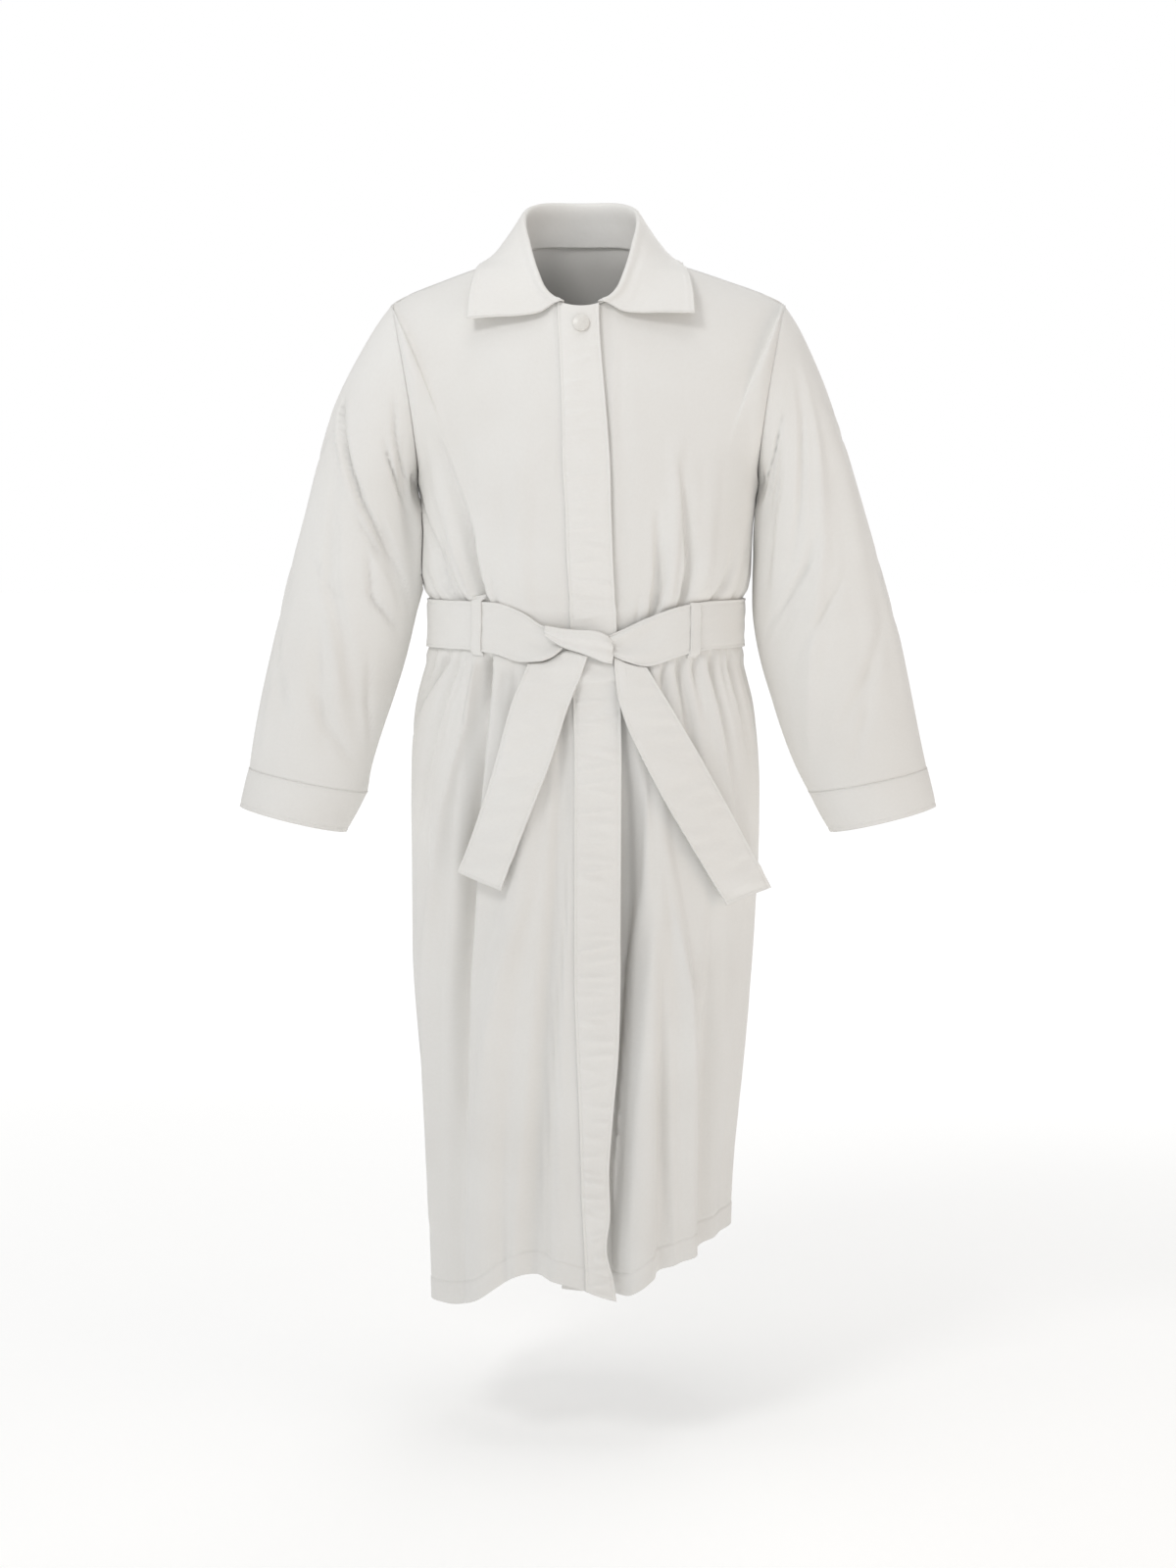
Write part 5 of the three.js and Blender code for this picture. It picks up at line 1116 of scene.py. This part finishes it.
SEAM_ROWS, NEAR_BODY = slice(22, 70), 9  # rows of a sleeve that may touch the body, and how near that is
for side, suffix, folds, creases in (
    (-1, "right", SLEEVE_FOLDS_RIGHT, SLEEVE_CREASES_RIGHT),
    (1, "left", SLEEVE_FOLDS_LEFT, SLEEVE_CREASES_LEFT),
):
    sleeve = sleeve_points(side, folds, creases, 40 + side)
    sleeve[SEAM_ROWS] = kept_clear(sleeve[SEAM_ROWS], side_tree, 1.2, near=NEAR_BODY)
    cloth(f"sleeve_{suffix}", sleeve, CLOTH_WALL, True)
    rings = np.array([ring_of(section, side) for section in CUFF])
    cuff = refined(closed_ring(rings), *CUFF_GRID, closed=True)
    down = knots_of(cuff, 0)[:, None]
    around = knots_of(cuff, 1)[None, :]
    cuff_lift = 0.9 * undulation(around, down, 45 + side, 10, 90, 20, 1) * soft(down / 10)
    cuff_lift = cuff_lift * soft(np.minimum(around, around.max() - around) / 20)
    cuff_lift = cuff_lift + grooves(down - STITCH_INSET) + grooves(down.max() - down - CUFF_INSET) + 0.4
    cuff = cuff + unit(cuff - cuff.mean(axis=1, keepdims=True)) * cuff_lift[..., None]
    cloth(f"cuff_{suffix}", cuff[:, ::-1] if side > 0 else cuff, CUFF_WALL, True)

# %% [markdown]
# ## Belt
# The belt is a strip of doubled cloth, 56 mm wide and stitched all round. It passes through two loops and
# is tied once in front: one strand rolls and crosses over the other, and both ends hang down.

# %% Belt sizes
# angle from the front, upper edge, lower edge, how far it stands off at its rolled ends
BELT_RIGHT = [
    (-12, -453, -474, 1.5), (-17, -450, -483, 1.5), (-23, -446, -488, 1), (-32, -432, -489, 0.3),
    (-45, -421, -480, 0), (-60, -420, -476, 0), (-80, -420, -476, 0), (-360, -420, -476, 0),
]
BELT_LEFT = [
    (11, -460, -478, 1), (20, -450, -488, 1), (31, -438, -494, 0.3), (49, -424, -481, 0), (62, -420, -476, 0),
    (80, -420, -476, 0), (360, -420, -476, 0),
]
# x, upper edge, lower edge, stand-off of the strand that crosses the knot
KNOT = [
    (-47, -446.5, -459, 4.4), (-26, -450, -472, 6.6), (-10, -451.5, -477.5, 7.6), (4, -452, -483, 8),
    (16, -455, -488.5, 7), (27, -463, -491, 5),
]
# place down the tail, x and z of its left edge, x and z of its right edge, stand-off
TAIL_RIGHT = [
    (0, -67, -490, -1, -482.5, 3.5), (0.07, -72, -505, -7, -502, 6), (0.2, -82, -536, -18, -530, 11),
    (0.45, -100, -608, -40, -603, 13), (0.75, -122, -680, -68, -680, 13), (1, -140, -732, -93, -750, 14),
]
TAIL_LEFT = [
    (0, 29, -493, 66, -496.5, 3.5), (0.06, 30, -510, 74, -511, 6), (0.16, 34, -538, 90, -542, 11),
    (0.4, 68, -622, 127, -612, 14), (0.7, 106, -693, 164, -681, 14), (0.88, 137, -748, 191, -732, 14),
    (1, 150, -772, 203, -755, 14),
]
TAIL_CELLS, TAIL_GRID, END_CURL = 12, (2.6, 1.4), 1.6  # the end of a tail bends up by the last
TAIL_TURN = 150  # past this the tail stands off straight, where the hip falls away behind it
BELT_RADIUS, KNOT_GRID, LOOP_GRID = 160, (1.6, 1.6), (1.5, 1.2)
LOOP_ANGLE, LOOP_WIDTH, LOOP_LENGTH = 52, 12, 76


# %% Belt
def belt_edge(angle, column):
    """Angles run from the front round the wearer's right to -360."""
    angle = np.asarray(angle, float)
    return np.where(angle > -180, read(BELT_RIGHT, angle, column), read(BELT_LEFT, angle + 360, column))


def belt_level(z, angle, slack):
    return np.clip(z - belt_sag(angle), BELT_Z - slack, BELT_Z + slack)


belt_angles = -np.concatenate([np.arange(12, 349, 1.6), [349]])[::-1]
edge_rows = np.array([0, 0.7, 1.6, 2.6, 3.4, 4.2, 5.2, 6.6, 8.6])
belt_rows = np.concatenate([edge_rows, np.linspace(11, BELT_WIDTH - 11, 14), BELT_WIDTH - edge_rows[::-1]])
angle, v = np.meshgrid(belt_angles, belt_rows / BELT_WIDTH)
z = mix(belt_edge(angle, 1), belt_edge(angle, 2), v)
stand_off = BELT_WALL + BELT_LIFT + belt_edge(angle, 3)
belt = on_form(angle, belt_level(z, angle, BELT_WIDTH / 2), stand_off)
belt[..., 2] = z
around, height = np.radians(angle) * BELT_RADIUS, v * BELT_WIDTH
belt_fine = 2.0 * undulation(around, height, 51, 12, 120, 24, 0.6) * inside(v, 0.15)
belt_fine += grooves(height - STITCH_INSET) + grooves(BELT_WIDTH - height - STITCH_INSET)
# The strand rolls towards the knot: its lower edge curls out into a lip, over a soft hollow.
roll = soft((angle + 38) / 16) * soft((-11 - angle) / 4)
belt_fine += roll * (6.5 * hump(v - 0.9, 0.14) - 3.2 * hump(v - 0.58, 0.18))
# The other strand is pulled in under the knot, with folds that fan out from it.
fan = np.sin(v * 9 + (angle + 340) * 0.12) * inside(v, 0.1)
belt_fine += 2.2 * fan * soft((-angle - 318) / 14) - 2.4 * soft((-angle - 334) / 10) * hump(v - 0.45, 0.3)
belt_cloth = lifted(belt, belt_fine)
cloth("belt_waist", belt_cloth, BELT_WALL)


def knot_column(x, top, low, off):
    v = np.linspace(0, 1, 5)
    z = mix(top, low, v)
    return on_front(x, z, BELT_Z + z - (top + low) / 2, off + BELT_WALL + 1.5 * np.sin(np.pi * v))


knot = refined(grid_of([knot_column(*section) for section in KNOT]), *KNOT_GRID)
v = np.linspace(0, 1, knot.shape[0])[:, None]
u = np.linspace(0, 1, knot.shape[1])[None, :]
# Pulled tight, it has folds that run along it and fan out at its far end.
knot_fine = 1.6 * np.sin((v * 2.3 + 0.55 * u) * math.tau + 0.6) * inside(v, 0.15)
knot_fine = knot_fine * mix(0.55, 1, u) + 1.8 * hump(v - 0.86, 0.1) * (1 - u * 0.4)
knot_fine += 1.5 * np.sin(np.pi * np.clip(v * 1.1, 0, 1)) - 2.2 * hump(u - 1, 0.06)
cloth("belt_knot", lifted(knot, knot_fine), BELT_WALL)


# %% Belt tails
def strand_above(x):
    """Lowest edge of the belt or the knot above a point of a tail, and how far out it lies there."""
    angle = float(angle_of_x(x, BELT_Z))
    belt_angle = angle - 360 if angle > 0 else angle
    low, lift = float(belt_edge(belt_angle, 2)), BELT_LIFT + float(belt_edge(belt_angle, 3))
    if KNOT[0][0] < x < KNOT[-1][0] and float(read(KNOT, x, 2)) < low:
        return float(read(KNOT, x, 2)), float(read(KNOT, x, 3))
    return low, lift


def tail_points(table, seed):
    rows = []
    for i in range(TAIL_CELLS + 1):
        x0, z0, x1, z1, off = (float(read(table, i / TAIL_CELLS, k)) for k in range(1, 6))
        row = []
        for v in (0, 0.33, 0.67, 1):
            x = mix(x0, x1, v)
            if i == 0:
                low, lift = strand_above(x)
                row.append(on_front(x, low - 4 * SEAM_GAP, BELT_Z - 18, lift + BELT_WALL))
                continue
            z = mix(z0, z1, v)
            level = mix(BELT_Z - 20, -520, soft((-480 - z) / 40)) if z > -520 else z
            near = min(x, TAIL_TURN)
            row.append(on_front(near, z, level, off + 0.5) + (x - near) * np.array([1, 0.5, 0]))
        rows.append(row)
    grid = refined(np.array(rows, float), *TAIL_GRID)
    down = knots_of(grid, 0)[:, None]
    width = np.linalg.norm(grid[:, -1:] - grid[:, :1], axis=-1)
    across = np.linalg.norm(grid - grid[:, :1], axis=-1)
    fine = 1.8 * undulation(across * 0.5, down, seed, 9, 120, 28, 1)
    fine = fine + 3.2 * undulation(across * 0.4, down, seed + 5, 14, 44, 16, 1)
    fine = fine * soft(across / 9) * soft((width - across) / 9) * soft(down / 20)
    for distance in (across, width - across, down[-1] - down):
        fine = fine + grooves(distance - STITCH_INSET)
    fine = fine + END_CURL * hump(down[-1] - down - 0.35 * across - 8, 7)
    points = lifted(grid, fine)
    points[1:] = kept_clear(points[1:], front_tree, BELT_WALL + 0.6)
    return points


cloth("belt_tail_right", tail_points(TAIL_RIGHT, 61), BELT_WALL)
cloth("belt_tail_left", tail_points(TAIL_LEFT, 62), BELT_WALL)


# %% Belt loops
def loop_points(side):
    angle = side * LOOP_ANGLE
    belt_angle = angle - 360 if side > 0 else angle
    middle = (float(belt_edge(belt_angle, 1)) + float(belt_edge(belt_angle, 2))) / 2
    turn = math.degrees(LOOP_WIDTH / 2 / float(reach(angle, BELT_Z)))
    over_belt = BELT_WALL + BELT_LIFT + LOOP_WALL + 0.3
    half = [
        (0.92, 0), (0.86, 0.1), (0.78, over_belt - 1), (0.66, over_belt + 0.1), (0.3, over_belt + 0.2),
    ]
    profile = [(-v, lift) for v, lift in half] + [(0, over_belt + 0.2)] + half[::-1]
    rows = []
    for v, lift in profile:
        a = angle + np.array([-1, 0, 1]) * turn
        z = middle - v * LOOP_LENGTH / 2
        row = on_form(a, belt_level(z, a, 40), lift)
        row[:, 2] = z
        if lift < 1:
            row = kept_clear(row, waist_tree, LOOP_WALL + 2 * SEAM_GAP, settle=99)
        elif lift > over_belt:
            row = kept_clear(row, belt_tree, LOOP_WALL + 2 * SEAM_GAP, near=12)
        rows.append(row)
    return refined(np.array(rows), *LOOP_GRID)


belt_tree = tree_of(belt_cloth)
for side, suffix in ((-1, "right"), (1, "left")):
    cloth(f"belt_loop_{suffix}", loop_points(side), LOOP_WALL)

# %% [markdown]
# ## Stitches
# Topstitching holds the hem, strip, collar, cuffs and belt. Each stitch is a small spindle of thread, half
# sunk in the groove that it pulls in the cloth. One function finds the line at a set distance inside an
# edge of a grid, and another walks along it and lays the stitches end to end. Each seam's stitches are
# joined in one mesh.

# %% Stitches
STITCH, STITCH_PITCH = 2.7, 3.2
THREAD = 0.5  # drawn thicker than the real 0.25 mm, so that it shows
LOOP_INSET, ARMHOLE_INSET = 2, 6
BATCH = 40  # stitches made at a time, as an operator is slow in a large mesh


def seam_line(points, edge, inset, closed=False):
    """The line at a distance inside an edge of a grid, as places and outward normals."""
    both = np.concatenate([points, normals_of(points, closed)], axis=-1)
    if edge in ("left", "right"):
        both = both.transpose(1, 0, 2)
    if edge in ("bottom", "right"):
        both = both[::-1]
    far = run_along(both)
    line = [[np.interp(inset, far[:, j], both[:, j, c]) for c in range(6)] for j in range(both.shape[1])]
    return np.array(line)


def stitch_place(ends):
    """Where a ball is stretched to from one end of a stitch to the other."""
    middle, way = (ends[0] + ends[1]) / 2, unit(ends[1][:3] - ends[0][:3])
    up = unit(middle[3:] - way * middle[3:].dot(way))
    half = THREAD / 2
    axes = np.column_stack([np.cross(up, way) * half, up * half, way * STITCH / 2, middle[:3]]) * MM
    return Matrix([*axes.tolist(), [0, 0, 0, 1]])


def stitched(name, lines):
    """One mesh of all the stitches along some lines."""
    joined = bmesh.new()
    mesh = bpy.data.meshes.new(f"{name}_stitches")
    count = 0
    for line in lines:
        along = run_along(line)
        starts = np.arange(1.5, along[-1] - STITCH - 1, STITCH_PITCH)
        bm = bmesh.new()
        for k, start in enumerate(starts):
            ends = [
                np.array([np.interp(at, along, line[:, c]) for c in range(6)])
                for at in (start, start + STITCH)
            ]
            bmesh.ops.create_uvsphere(bm, u_segments=4, v_segments=3, radius=1, matrix=stitch_place(ends))
            if k % BATCH == BATCH - 1 or k == len(starts) - 1:
                bm.to_mesh(mesh)
                joined.from_mesh(mesh)
                bm.clear()
        bm.free()
        count += len(starts)
    seams[name] = put(f"{name}_stitches", joined, mesh)
    print(f"{name}: {count} stitches")


def seams_along(points, edges, inset, closed=False):
    return [seam_line(points, edge, inset, closed) for edge in edges]


def armhole_line(points):
    """Beside the sleeve's seam: only the columns that end at an armhole."""
    line = seam_line(points, "top", ARMHOLE_INSET)
    return line[np.abs(points[0, :, 0]) > ARMHOLE_X - 4]


seams = {}
for name in ("front_over", "front_under", "back"):
    stitched(f"{name}_hem", [seam_line(grids[name], "bottom", HEM_DEPTH)])
armholes = [armhole_line(over_cloth), armhole_line(under_cloth)]
back_line = armhole_line(back_cloth)
armholes += [back_line[back_line[:, 0] > 0], back_line[back_line[:, 0] < 0]]
stitched("armhole", armholes)
stitched("placket", seams_along(placket_cloth, ("left", "right"), STITCH_INSET))
below_stand = collar_cloth[int(collar_cloth.shape[0] * 0.3) :]
collar_ends = [line[:-4] for line in seams_along(below_stand, ("left", "right"), COLLAR_INSET)]
stitched("collar", [seam_line(collar_cloth, "bottom", COLLAR_INSET), *collar_ends])
for side in ("right", "left"):
    cuff = grids[f"cuff_{side}"]
    cuff_lines = [seam_line(cuff, "top", STITCH_INSET, True), seam_line(cuff, "bottom", CUFF_INSET, True)]
    stitched(f"cuff_{side}", cuff_lines)
    tail_lines = seams_along(grids[f"belt_tail_{side}"], ("left", "right", "bottom"), STITCH_INSET)
    stitched(f"belt_tail_{side}", tail_lines)
    stitched(f"belt_loop_{side}", seams_along(grids[f"belt_loop_{side}"], ("left", "right"), LOOP_INSET))
stitched("belt", seams_along(belt_cloth, ("top", "bottom"), STITCH_INSET))

# %% [markdown]
# ## Materials
# The cloth is a poly-cotton broadcloth, bleached white: matt, with a faint sheen where it turns away, and a
# weave too fine to see from here. The button is cast polyester: smoother, with a soft gloss. Colours are
# given as they look on a screen, and one function turns them into the linear values that light is counted
# in.


# %% Materials
def linear(hex_colour):
    """An sRGB colour such as #f2f1ee as linear red, green, blue and alpha."""
    parts = [int(hex_colour[i : i + 2], 16) / 255 for i in (1, 3, 5)]
    return (*(c / 12.92 if c <= 0.04045 else ((c + 0.055) / 1.055) ** 2.4 for c in parts), 1.0)


def add(tree, kind, settings=None, **inputs):
    """A node with its settings, and its inputs as values or as links from other nodes' sockets.

    The inputs i0, i1 and so on are counted; another name is the input's own, with _ for a blank.
    """
    node = tree.nodes.new(kind)
    for key, value in (settings or {}).items():
        setattr(node, key, value)
    for name, value in inputs.items():
        socket = node.inputs[int(name[1:]) if name[1:].isdigit() else name.replace("_", " ")]
        if isinstance(value, bpy.types.NodeSocket):
            tree.links.new(value, socket)
        else:
            socket.default_value = value
    return node


def new_material(name, **inputs):
    """A material, its nodes and its shader, which has the given inputs."""
    material = bpy.data.materials.new(name)
    material.use_nodes = True
    tree = material.node_tree
    tree.nodes.clear()
    shader = add(tree, "ShaderNodeBsdfPrincipled", **inputs)
    add(tree, "ShaderNodeOutputMaterial", Surface=shader.outputs["BSDF"])
    return material, tree, shader


def object_place(tree):
    return add(tree, "ShaderNodeTexCoord").outputs["Object"]


def noise(tree, place, scale, detail, roughness=0.5, distortion=0.0):
    return add(
        tree, "ShaderNodeTexNoise", Vector=place, Scale=scale, Detail=detail, Roughness=roughness,
        Distortion=distortion,
    ).outputs["Fac"]


def two_tone(tree, shader, factor, dark, light, ends=(0.0, 1.0)):
    """The shader's colour, from dark to light between two values of the factor."""
    ramp = add(tree, "ShaderNodeValToRGB", Fac=factor)
    for stop, colour, end in zip(ramp.color_ramp.elements, (dark, light), ends):
        stop.position, stop.color = end, linear(colour)
    tree.links.new(ramp.outputs["Color"], shader.inputs["Base Color"])


def bumps(tree, shader, *layers):
    """The shader's surface, raised by layers of height, strength and depth in millimetres."""
    normal = {}
    for height, strength, depth in layers:
        bump = add(tree, "ShaderNodeBump", Strength=strength, Distance=depth * MM, Height=height, **normal)
        normal = {"Normal": bump.outputs[0]}
    tree.links.new(bump.outputs[0], shader.inputs["Normal"])


WEAVE_THREAD, WEAVE_HEIGHT, SLUB_HEIGHT = 0.9, 0.05, 0.12  # the real thread of the weave is 0.3 mm wide


def poly_cotton(name, light, shade, crumple_height, roughness):
    """Broadcloth: its warp and weft are drawn coarser than they are, so that they still show."""
    material, tree, shader = new_material(
        name, Roughness=roughness, Specular_IOR_Level=0.35, Sheen_Weight=0.22, Sheen_Roughness=0.45
    )
    place = add(tree, "ShaderNodeUVMap", {"uv_map": "unrolled"}).outputs["UV"]
    waves = [
        add(
            tree, "ShaderNodeTexWave", {"bands_direction": way}, Vector=place,
            Scale=math.tau / 20 / (WEAVE_THREAD * MM), Distortion=0.6, Detail=1.0, Detail_Scale=1.0,
        ).outputs["Fac"]
        for way in ("X", "Y")
    ]
    weave = add(tree, "ShaderNodeMath", {"operation": "MULTIPLY"}, i0=waves[0], i1=waves[1]).outputs[0]
    slub = noise(tree, place, 260.0, 3.0, 0.6)
    wear = noise(tree, object_place(tree), 9.0, 3.0)
    crumple = noise(tree, object_place(tree), 38.0, 4.0, 0.55, 0.4)
    slub_tone = add(tree, "ShaderNodeMath", {"operation": "MULTIPLY"}, i0=slub, i1=0.35).outputs[0]
    tone = add(tree, "ShaderNodeMath", {"operation": "MULTIPLY_ADD"}, i0=wear, i1=0.8, i2=slub_tone)
    two_tone(tree, shader, tone.outputs[0], shade, light, (0.3, 0.8))
    heights = (weave, 0.25, WEAVE_HEIGHT), (slub, 0.35, SLUB_HEIGHT), (crumple, 0.5, crumple_height)
    bumps(tree, shader, *heights)
    return material


broadcloth = poly_cotton("poly_cotton_broadcloth", "#eeedea", "#e8e6e2", 1.0, 0.78)
doubled = poly_cotton("poly_cotton_doubled", "#f1f0ed", "#ebe9e5", 2.2, 0.55)
DOUBLED = ("collar", "placket_band", "belt_knot", "belt_tail_right", "belt_tail_left")
for node, piece in pieces.items():
    piece.data.materials.append(doubled if node in DOUBLED else broadcloth)

thread, tree, shader = new_material("polyester_sewing_thread", Roughness=0.55, Sheen_Weight=0.3)
twist = noise(tree, object_place(tree), 1400.0, 2.0)
two_tone(tree, shader, twist, "#e2e0db", "#f5f4f1")
bumps(tree, shader, (twist, 0.4, 0.06))
for piece in seams.values():
    piece.data.materials.append(thread)

cast_polyester, tree, shader = new_material("cast_polyester_button", Roughness=0.32, IOR=1.55)
two_tone(tree, shader, noise(tree, object_place(tree), 420.0, 3.0), "#dfdcd6", "#ebe9e4")
button.data.materials.append(cast_polyester)
print("materials:", [m.name for m in bpy.data.materials])

# %% [markdown]
# ## Light and floor
# A white room lights a white robe from everywhere, so its folds are shown only by how deep they are. The
# key light stands in front and above, with a weak one at the side, and three broad lights and the world
# fill in the rest. The floor is plain and pale, and glows a little though it is no lamp, so it lights the
# robe from below too.

# %% Light and floor
bpy.context.scene.view_settings.view_transform = "Standard"
FLOOR_Z, FLOOR_HALF, ROOM_LIGHT = -1.42, 30, 0.38


def area_light(name, location, target, size, power, colour="#ffffff"):
    light = bpy.data.objects.new(name, bpy.data.lights.new(name, "AREA"))
    light.data.shape = "DISK"
    light.data.size = size
    light.data.energy = power
    light.data.color = linear(colour)[:3]
    light.location = location
    light.rotation_euler = (Vector(target) - Vector(location)).to_track_quat("-Z", "Y").to_euler()
    bpy.context.scene.collection.objects.link(light)


area_light("key", (-1.3, -1.85, 1.8), (0, 0, -0.5), 0.9, 21)
area_light("side", (-2.1, -0.9, 1.0), (-0.2, 0, -0.3), 1.4, 3)
area_light("ceiling", (0, -0.2, 2.3), (0, 0, 0), 1.8, 16)
area_light("fill", (2.2, -1.4, -0.3), (0, 0, -0.9), 1.8, 7, "#ffe8d0")
area_light("behind", (0.9, 2.8, 1.2), (0, 0, -0.5), 2.2, 16)

bm = bmesh.new()
floor_place = Matrix.Translation((0, 0, FLOOR_Z))
bmesh.ops.create_grid(bm, x_segments=8, y_segments=8, size=FLOOR_HALF, matrix=floor_place)
floor_mesh = bpy.data.meshes.new("floor")
bm.to_mesh(floor_mesh)
bm.free()
floor = bpy.data.objects.new("floor", floor_mesh)
bpy.context.scene.collection.objects.link(floor)
# Painted light: the floor is no lamp, but its emission glows, a little near the robe and more far away, and
# lights the robe from below.
glowing_floor_paint, tree, shader = new_material(
    "glowing_matt_floor", Base_Color=linear("#e4e4e3"), Roughness=1.0, Specular_IOR_Level=0.0,
    Emission_Color=linear("#ffffff"),
)
# It glows a little more far away, so that it runs into the white walls without an edge.
far = add(tree, "ShaderNodeVectorMath", {"operation": "LENGTH"}, i0=object_place(tree)).outputs["Value"]
glow = add(tree, "ShaderNodeMapRange", Value=far, From_Min=1.6, From_Max=4.5, To_Min=0.42, To_Max=0.8)
tree.links.new(glow.outputs[0], shader.inputs["Emission Strength"])
floor.data.materials.append(glowing_floor_paint)

world = bpy.data.worlds.new("white_room")
bpy.context.scene.world = world
world.use_nodes = True
# The eye sees the room's walls at full white; the light that they throw on the robe is dimmer.
tree = world.node_tree
eye_rays = add(tree, "ShaderNodeLightPath").outputs["Is Camera Ray"]
strength = add(tree, "ShaderNodeMapRange", Value=eye_rays, To_Min=ROOM_LIGHT, To_Max=1.0)
tree.links.new(strength.outputs[0], tree.nodes["Background"].inputs["Strength"])
tree.nodes["Background"].inputs["Color"].default_value = linear("#ffffff")

# %% [markdown]
# ## Finish
# The last cell says what each piece of cloth was cut to and measures the robe.

# %% Finish
# width and length it was cut to, in metres, area of the cut, how it is held, what it lies on, its stitches
SHEETS = {
    "front_over": (0.37, 1.25, 0.4, "hung", ["back", "front_under"], ["front_over_hem"]),
    "front_under": (0.35, 1.22, 0.37, "hung", ["back"], ["front_under_hem"]),
    "back": (0.61, 1.27, 0.66, "hung", ["front_over", "front_under"], ["back_hem", "armhole"]),
    "placket_band": (0.05, 1.19, 0.057, "hung", ["front_over"], ["placket"]),
    "collar": (0.56, 0.14, 0.059, "folded", ["back", "front_over", "front_under"], ["collar"]),
    "sleeve_right": (0.45, 0.58, 0.205, "hung", ["back", "front_over"], []),
    "sleeve_left": (0.45, 0.58, 0.205, "hung", ["back", "front_under"], []),
    "cuff_right": (0.37, 0.054, 0.0185, "hung", ["sleeve_right"], ["cuff_right"]),
    "cuff_left": (0.37, 0.054, 0.0185, "hung", ["sleeve_left"], ["cuff_left"]),
    "belt_waist": (0.055, 0.955, 0.052, "stretched", ["front_over", "front_under", "back"], ["belt"]),
    "belt_knot": (0.029, 0.085, None, "folded", ["belt_waist"], []),
    "belt_tail_right": (0.065, 0.285, 0.017, "hung", ["belt_waist", "front_over"], ["belt_tail_right"]),
    "belt_tail_left": (0.065, 0.325, 0.019, "hung", ["belt_knot", "front_under"], ["belt_tail_left"]),
    "belt_loop_right": (0.013, 0.075, None, "stretched", ["belt_waist"], ["belt_loop_right"]),
    "belt_loop_left": (0.013, 0.075, None, "stretched", ["belt_waist"], ["belt_loop_left"]),
}
for name, (width, length, cut_area, held, below, sewn) in SHEETS.items():
    print(f"{name}: {areas[name] / (cut_area or width * length):.2f} times its flat cut")
